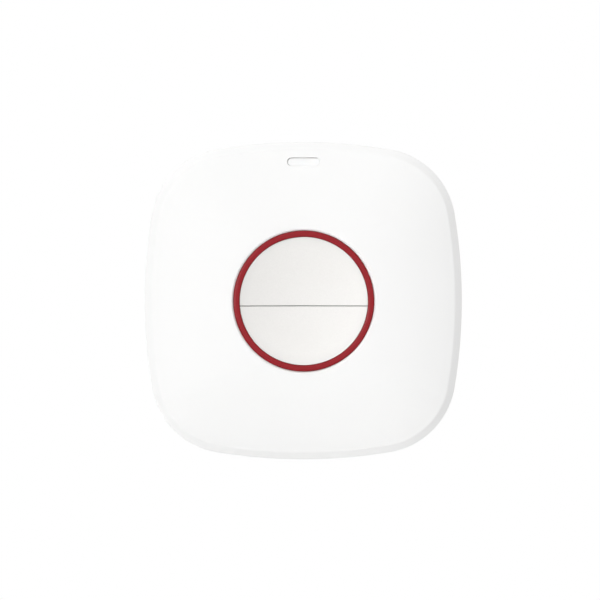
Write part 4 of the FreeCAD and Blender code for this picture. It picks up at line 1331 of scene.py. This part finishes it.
        def on_hole(spot: Vector) -> bool:
            """Whether a spot lies on a wall screw hole's edge at the back."""
            away = math.hypot(abs(spot.x) - self.fixing_place, spot.y) - self.fixing_hole
            return abs(spot.z) < WELD and abs(away) < 10 * NEAR

        piece.bevel(piece.edges_where(on_hole), self.fixing_round, 2)

    def furnish(self, piece: Moulding) -> None:
        """Stand ribs, board supports and the post under the tamper switch on the floor.

        Args:
            piece: The tray.
        """
        root, half = self.floor - self.root_depth, self.rib_thickness / 2
        reach = self.casing.body_width / 2 - self.inset_at(self.floor) - self.wall - self.rib_gap
        for up in (-self.rib_place, self.rib_place):
            piece.box((-reach, up - half, root), (reach, up + half, self.floor + self.rib_height))
        for spot in self.casing.boss_spots:
            piece.tube(spot, self.support_radius, self.support_bore, root, self.support_top)
        piece.post((0, self.tamper_place), self.tamper_radius, root, self.tamper_top)


@dataclass
class Screw:
    """A pan head screw with a cross recess, its seat at level 0 and its point further on."""

    shank: float
    length: float
    head: float = 2.1
    head_height: float = 0.95
    head_round: float = 0.35
    arm_width: float = 0.42
    arm_reach: float = 1.05
    recess: float = 0.6
    recess_taper: float = 0.55
    pitch: float = 0.7
    core: float = 0.8
    point: float = 0.12
    steps: int = 36

    def add(self, piece: Moulding, place: Matrix) -> None:
        """Shape one screw and set it in its place.

        Args:
            piece: The piece that gets it.
            place: Where its seat lies and which way it points.
        """
        mesh = piece.mesh
        others = set(mesh.verts)
        top, taper = -self.head_height, self.recess_taper
        # A grid of three by three squares, whose outer corners lie at 1 and inner ones at a third.
        grid = bmesh.ops.create_grid(mesh, x_segments=3, y_segments=3, size=1.0)["verts"]
        for vert in grid:
            across, up = (math.copysign(self.arm_reach if abs(value) > 0.5 else self.arm_width / 2, value)
                          for value in vert.co.xy)
            vert.co = (across, up, top)
        rim = [edge for edge in edges_of(grid) if edge.is_boundary]
        squares = dict.fromkeys(face for vert in grid for face in vert.link_faces)
        cross = [face for face in squares
                 if min(map(abs, face.calc_center_median().xy)) < self.arm_width / 2]
        piece.sink(cross, lambda spot: Vector((spot.x * taper, spot.y * taper, top + self.recess)))
        loop = piece.circle(self.head - self.head_round, top, segments=self.steps)
        bmesh.ops.triangle_fill(mesh, edges=rim + loop, use_beauty=True)
        core, tip = self.shank * self.core, self.length - self.shank
        section = [(self.head, top + self.head_round), (self.head, 0.0), (core, 0.0)]
        for back in range(int(tip / self.pitch) - 1, 0, -1):
            start = tip - back * self.pitch
            section += [(core, start), (self.shank, start + self.pitch / 2)]
        section += [(core, tip), (self.point, self.length)]
        piece.close(piece.turn(loop, section))
        made = [vert for vert in mesh.verts if vert not in others]
        bmesh.ops.transform(mesh, matrix=place, verts=made)


@dataclass
class Fixings:
    """The closing screw and the four screws through the board."""

    closing: Screw = field(default_factory=lambda: Screw(shank=0.9, length=5.75))
    through: Screw = field(
        default_factory=lambda: Screw(shank=1.05, length=10.2, head_height=1.4, pitch=0.8))
    board_back: float = 7.9

    def make(self, tray: Tray, paints: Paintbox) -> None:
        """Shape and place all five screws.

        Args:
            tray: The tray that they close or clamp the rest to.
            paints: Where their material comes from.
        """
        piece = Moulding("closing_screw")
        turn = Matrix.Rotation(math.radians(-90), 4, "X")
        self.closing.add(piece, Matrix.Translation((0, -tray.closing_seat, tray.closing_level)) @ turn)
        piece.finish(Slot.STEEL, Body.HOUSING, paints, ("locking_screw",))
        piece = Moulding("through_screws")
        for spot in tray.casing.boss_spots:
            self.through.add(piece, Matrix.Translation((*spot, self.board_back)))
        piece.finish(Slot.STEEL, Body.HOUSING, paints, ("board_screws",))


@dataclass
class KeyFace:
    """The two dished keys and the ring round them."""

    ring_radius: float = 16.79
    ring_bore: float = 15.31
    ring_foot: float = 16.7
    ring_front: float = 21.6
    ring_round: float = 0.45
    flange_radius: float = 18.8
    flange_top: float = 17.9
    lug_inset: float = 0.25
    lug_length: float = 1.4
    lug_width: float = 2.0
    lug_drop: float = 0.9
    lug_root: float = 0.6
    key_radius: float = 15.25
    key_rim: float = 21.4
    key_round: float = 0.12
    dish_depth: float = 3.0
    dish_steps: int = 26
    underside: float = 17.2
    lip_radius: float = 16.5
    lip_top: float = 16.6
    lip_foot: float = 15.6
    skirt_inside: float = 13.85
    split: float = -1.18
    gap: float = 0.2
    split_wall: float = 1.5
    stem_distance: float = 6.6
    stem_radius: float = 2.2
    stem_foot: float = 14.6
    root_depth: float = 0.2
    steps: int = 128

    def lathe(self, mesh: BMesh, section: Iterable[BMVert | BMEdge]) -> None:
        """Turn a section about the middle.

        Args:
            mesh: The mesh that the section is in.
            section: Its vertices and edges.
        """
        bmesh.ops.spin(mesh, geom=list(section), cent=(0, 0, 0), axis=(0, 0, 1), angle=2 * math.pi,
                       steps=self.steps, use_merge=True)

    def make_ring(self, paints: Paintbox) -> Object:
        """Shape the red ring with its flange and lugs.

        Args:
            paints: Where its material comes from.

        Returns:
            The finished ring.
        """
        piece = Moulding("red_ring")
        mesh = piece.mesh
        corners = [(self.ring_bore, self.ring_foot), (self.flange_radius, self.ring_foot),
                   (self.flange_radius, self.flange_top), (self.ring_radius, self.flange_top),
                   (self.ring_radius, self.ring_front), (self.ring_bore, self.ring_front)]
        verts = [mesh.verts.new((radius, 0, level)) for radius, level in corners]
        edges = [mesh.edges.new(pair) for pair in zip(verts, verts[1:] + verts[:1])]
        self.lathe(mesh, [*verts, *edges])
        front = self.ring_front
        piece.bevel(piece.edges_where(lambda spot: abs(spot.z - front) < WELD), self.ring_round, 4)
        outer, half = self.flange_radius - self.lug_inset, self.lug_width / 2
        for turn in (90, 270):
            piece.box((outer - self.lug_length, -half, self.ring_foot - self.lug_drop),
                      (outer, half, self.ring_foot + self.lug_root), turn)
        return piece.finish(Slot.RING, Body.HOUSING, paints, ("trim_ring",))

    def make_key(self, upper: bool, paints: Paintbox) -> Object:
        """Shape one half of the dished disc, with its skirt, lip, split wall and stem.

        Args:
            upper: Whether it is the upper key.
            paints: Where its material comes from.

        Returns:
            The finished key.
        """
        node = "upper_key" if upper else "lower_key"
        piece = Moulding(f"{node}_moulding")
        mesh = piece.mesh
        floor = self.key_rim - self.dish_depth
        bend = (self.key_radius ** 2 + self.dish_depth ** 2) / (2 * self.dish_depth)
        swing = math.asin(self.key_radius / bend)
        pole = mesh.verts.new((0, 0, floor))
        arc = bmesh.ops.spin(mesh, geom=[pole], cent=(0, 0, floor + bend), axis=(0, -1, 0), angle=swing,
                             steps=self.dish_steps)
        rim = next(item for item in arc["geom_last"] if isinstance(item, BMVert))
        corners = [(self.key_radius, self.lip_top), (self.lip_radius, self.lip_top),
                   (self.lip_radius, self.lip_foot), (self.skirt_inside, self.lip_foot),
                   (self.skirt_inside, self.underside), (0, self.underside)]
        chain = [rim] + [mesh.verts.new((radius, 0, level)) for radius, level in corners]
        for pair in zip(chain, chain[1:]):
            mesh.edges.new(pair)
        self.lathe(mesh, [*mesh.verts, *mesh.edges])
        bmesh.ops.remove_doubles(mesh, verts=mesh.verts[:], dist=WELD)
        bmesh.ops.dissolve_degenerate(mesh, edges=mesh.edges[:], dist=WELD)

        side = 1 if upper else -1
        face = self.split + side * self.gap / 2
        bmesh.ops.bisect_plane(mesh, geom=[*mesh.verts, *mesh.edges, *mesh.faces], plane_co=(0, face, 0),
                               plane_no=(0, -side, 0), clear_outer=True)
        piece.close([edge for edge in mesh.edges if edge.is_boundary])
        bmesh.ops.recalc_face_normals(mesh, faces=mesh.faces[:])
        above = (self.underside + floor) / 2
        on_rim = [edge for edge in piece.edges_where(lambda spot: spot.z > above)
                  if edge.calc_face_angle(0) > SHARP_ANGLE]
        piece.bevel(on_rim, self.key_round, 4)

        wall = (face, face + side * self.split_wall)
        reach, root = (self.key_radius + self.skirt_inside) / 2, self.underside + self.root_depth
        piece.box((-reach, min(wall), self.lip_foot), (reach, max(wall), root))
        piece.post((0, self.split + side * self.stem_distance), self.stem_radius, self.stem_foot, root)
        return piece.finish(Slot.KEY, Body.UPPER_KEY if upper else Body.LOWER_KEY, paints, (node,))


@dataclass
class StatusLight:
    """The milky light pipe, which lies against the slot's lower and right side."""

    slack: float = 0.1
    settled: float = 0.055
    sink: float = 0.3
    flange_margin: float = 0.7
    flange_thickness: float = 1.0
    leg_width: float = 4.0
    leg_foot: float = 10.5

    def make_lens(self, casing: Casing, paints: Paintbox) -> Object:
        """Shape the pill that follows the dome's slope, the flange behind it and the leg over the lamp.

        Args:
            casing: The cover that it sits in.
            paints: Where its material comes from.

        Returns:
            The finished light pipe.
        """
        piece = Moulding("light_pipe")
        pill, flange = casing.slot.grown(-self.slack / 2), casing.slot.grown(self.flange_margin)
        foot, back = casing.seat_level, casing.seat_level - self.flange_thickness
        back_face = pill.draw(piece.mesh, foot)
        face, _ = piece.grow(back_face, lambda spot: casing.skin_spot(spot, self.sink))
        piece.close(face)
        piece.close(back_face)
        bmesh.ops.translate(piece.mesh, verts=piece.mesh.verts[:], vec=(self.settled, -self.settled, 0))
        for width, height, low, high in ((flange.width, flange.height, back, foot),
                                         (self.leg_width, pill.height, self.leg_foot, back)):
            piece.box((-width / 2, pill.up - height / 2, low), (width / 2, pill.up + height / 2, high))
        return piece.finish(Slot.LENS, Body.HOUSING, paints, ("status_lens",))


# Studio


@dataclass
class Lamp:
    """A soft square lamp, placed by its bearing from the object.

    A level of 1 lights a face square to the lamp as brightly as it is coloured. A lamp with a grid
    lights a narrow beam, which may be aimed past the object so that its soft edge crosses it.
    """

    name: str
    bearing: float
    lean: float
    level: float
    distance: float = 1.3
    width: float = 0.7
    spread: float = 180.0
    aim: Pair = (0.0, 0.0)
    grid_gain: float = 1.0

    def light(self, target: Vector) -> None:
        """Hang the lamp and aim it.

        Args:
            target: The middle of the object.
        """
        data = bpy.data.lights.new(self.name, "AREA")
        data.shape = "SQUARE"
        data.size = self.width
        data.spread = math.radians(self.spread)
        data.energy = self.level * math.pi ** 2 * self.distance ** 2 / self.grid_gain
        lamp = bpy.data.objects.new(self.name, data)
        bpy.context.scene.collection.objects.link(lamp)
        lean, bearing = math.radians(self.lean), math.radians(self.bearing)
        aside = math.sin(lean)
        towards = Vector((aside * math.cos(bearing), -math.cos(lean), aside * math.sin(bearing)))
        lamp.location = target + towards * self.distance
        goal = target + Vector((self.aim[0], 0, self.aim[1])) * MM
        lamp.rotation_euler = (lamp.location - goal).to_track_quat("Z", "Y").to_euler()
        lamp.visible_camera = False
        log.info("%s: level %.2f, %.0f degrees off the front", self.name, self.level, self.lean)


@dataclass
class Studio:
    """Plain white surroundings, soft lamps, a pale floor and the camera of the photograph."""

    floor_drop: float = 1.7
    floor_radius: float = 6.0
    front_level: float = 0.646
    back_level: float = 0.914
    level_reach: float = 0.3
    frame_pixels: float = 600.0
    photo_scale: float = 0.2399
    photo_centre: Pair = (303.26, 300.68)
    camera_distance: float = 1.6
    camera_bearing: float = -0.8
    camera_rise: float = 0.6
    sensor: float = 36.0
    clip: Pair = (0.05, 20.0)
    lamps: tuple[Lamp, ...] = (
        Lamp("gridded key lamp", bearing=166.0, lean=30.0, level=0.387, width=0.35, spread=25.0,
             aim=(146.0, -36.0), grid_gain=28.3),
        Lamp("high lamp", bearing=90.0, lean=75.0, level=0.136),
        Lamp("low lamp", bearing=270.0, lean=75.0, level=0.074),
    )

    def build(self, centre: Vector) -> None:
        """Set everything up round the object.

        Args:
            centre: The middle of the object, at the outline's depth.
        """
        for lamp in self.lamps:
            lamp.light(centre)
        self.light_the_air()
        self.lay_floor()
        self.set_camera(centre)
        scene = bpy.context.scene
        scene.view_settings.view_transform = "Standard"

    def light_the_air(self) -> None:
        """White to the camera, to glass and to gloss; to everything else softer in front than behind."""
        world = bpy.data.worlds.new("white room")
        bpy.context.scene.world = world
        nodes = Tree(world)
        white = {"Color": (1, 1, 1, 1), "Strength": 1.0}
        seen, lit = nodes.add("Background", white), nodes.add("Background", white)
        lean = nodes.add("VectorMath")
        lean.operation = "DOT_PRODUCT"
        lean.inputs[1].default_value = (0, 1, 0)
        nodes.join(nodes.add("TexCoord").outputs["Generated"], lean.inputs[0])
        level = nodes.spread(lean.outputs["Value"], self.front_level, self.back_level, -self.level_reach,
                             self.level_reach)
        nodes.join(level, lit.inputs["Strength"])
        path = nodes.add("LightPath")
        either = path.outputs["Is Camera Ray"]
        for kind in ("Is Glossy Ray", "Is Transmission Ray"):
            larger = nodes.add("Math")
            larger.operation = "MAXIMUM"
            nodes.join(either, larger.inputs[0])
            nodes.join(path.outputs[kind], larger.inputs[1])
            either = larger.outputs[0]
        mix = nodes.add("MixShader")
        nodes.join(either, mix.inputs["Fac"])
        nodes.join(lit.outputs["Background"], mix.inputs[1])
        nodes.join(seen.outputs["Background"], mix.inputs[2])
        nodes.join(mix.outputs["Shader"], nodes.add("OutputWorld").inputs["Surface"])

    def lay_floor(self) -> None:
        """Lay a round pale floor, well below the object."""
        mesh = bmesh.new()
        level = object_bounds()[0].z - self.floor_drop
        bmesh.ops.create_circle(mesh, segments=96, radius=self.floor_radius, cap_ends=True,
                                matrix=Matrix.Translation((0, 0, level)))
        data = bpy.data.meshes.new("floor")
        mesh.to_mesh(data)
        mesh.free()
        floor = bpy.data.objects.new("floor", data)
        bpy.context.scene.collection.objects.link(floor)
        data.materials.append(Finish("pale floor", (0.9, 0.9, 0.9), 0.8, grain=2.0, depth=0.0).material())
        floor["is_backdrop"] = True

    def set_camera(self, centre: Vector) -> None:
        """Place the camera all but square to the front, as far away as the photograph's flat look asks.

        Args:
            centre: The point of the object that the photograph's middle of outline shows.
        """
        data = bpy.data.cameras.new("camera")
        pixel = self.photo_scale * MM
        data.sensor_width = self.sensor
        data.lens = self.sensor * self.camera_distance / (self.frame_pixels * pixel)
        data.clip_start, data.clip_end = self.clip
        camera = bpy.data.objects.new("camera", data)
        bpy.context.scene.collection.objects.link(camera)
        right, down = ((place - self.frame_pixels / 2) * pixel for place in self.photo_centre)
        bearing, rise = math.radians(self.camera_bearing), math.radians(self.camera_rise)
        flat = math.cos(rise)
        back = Vector((math.sin(bearing) * flat, -math.cos(bearing) * flat, math.sin(rise)))
        turn = back.to_track_quat("Z", "Y")
        camera.location = centre + turn @ Vector((-right, down, self.camera_distance))
        camera.rotation_euler = turn.to_euler()
        bpy.context.scene.camera = camera


def main() -> None:
    """Dress the solids, shape the pieces that show and set up the studio."""
    logging.basicConfig(level=logging.INFO, format="%(name)s: %(message)s")
    paints = Paintbox()
    paints.dress_solids()
    low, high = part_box("front_cover")
    casing = Casing(body_width=(high.x - low.x) / MM)
    casing.make_cover(paints)
    keys = KeyFace()
    keys.make_ring(paints)
    keys.make_key(True, paints)
    keys.make_key(False, paints)
    StatusLight().make_lens(casing, paints)
    tray = Tray(casing)
    tray.make(paints)
    Fixings().make(tray, paints)
    Studio().build(Vector((0, -casing.parting * MM, 0)))


if __name__ == "__main__":
    main()
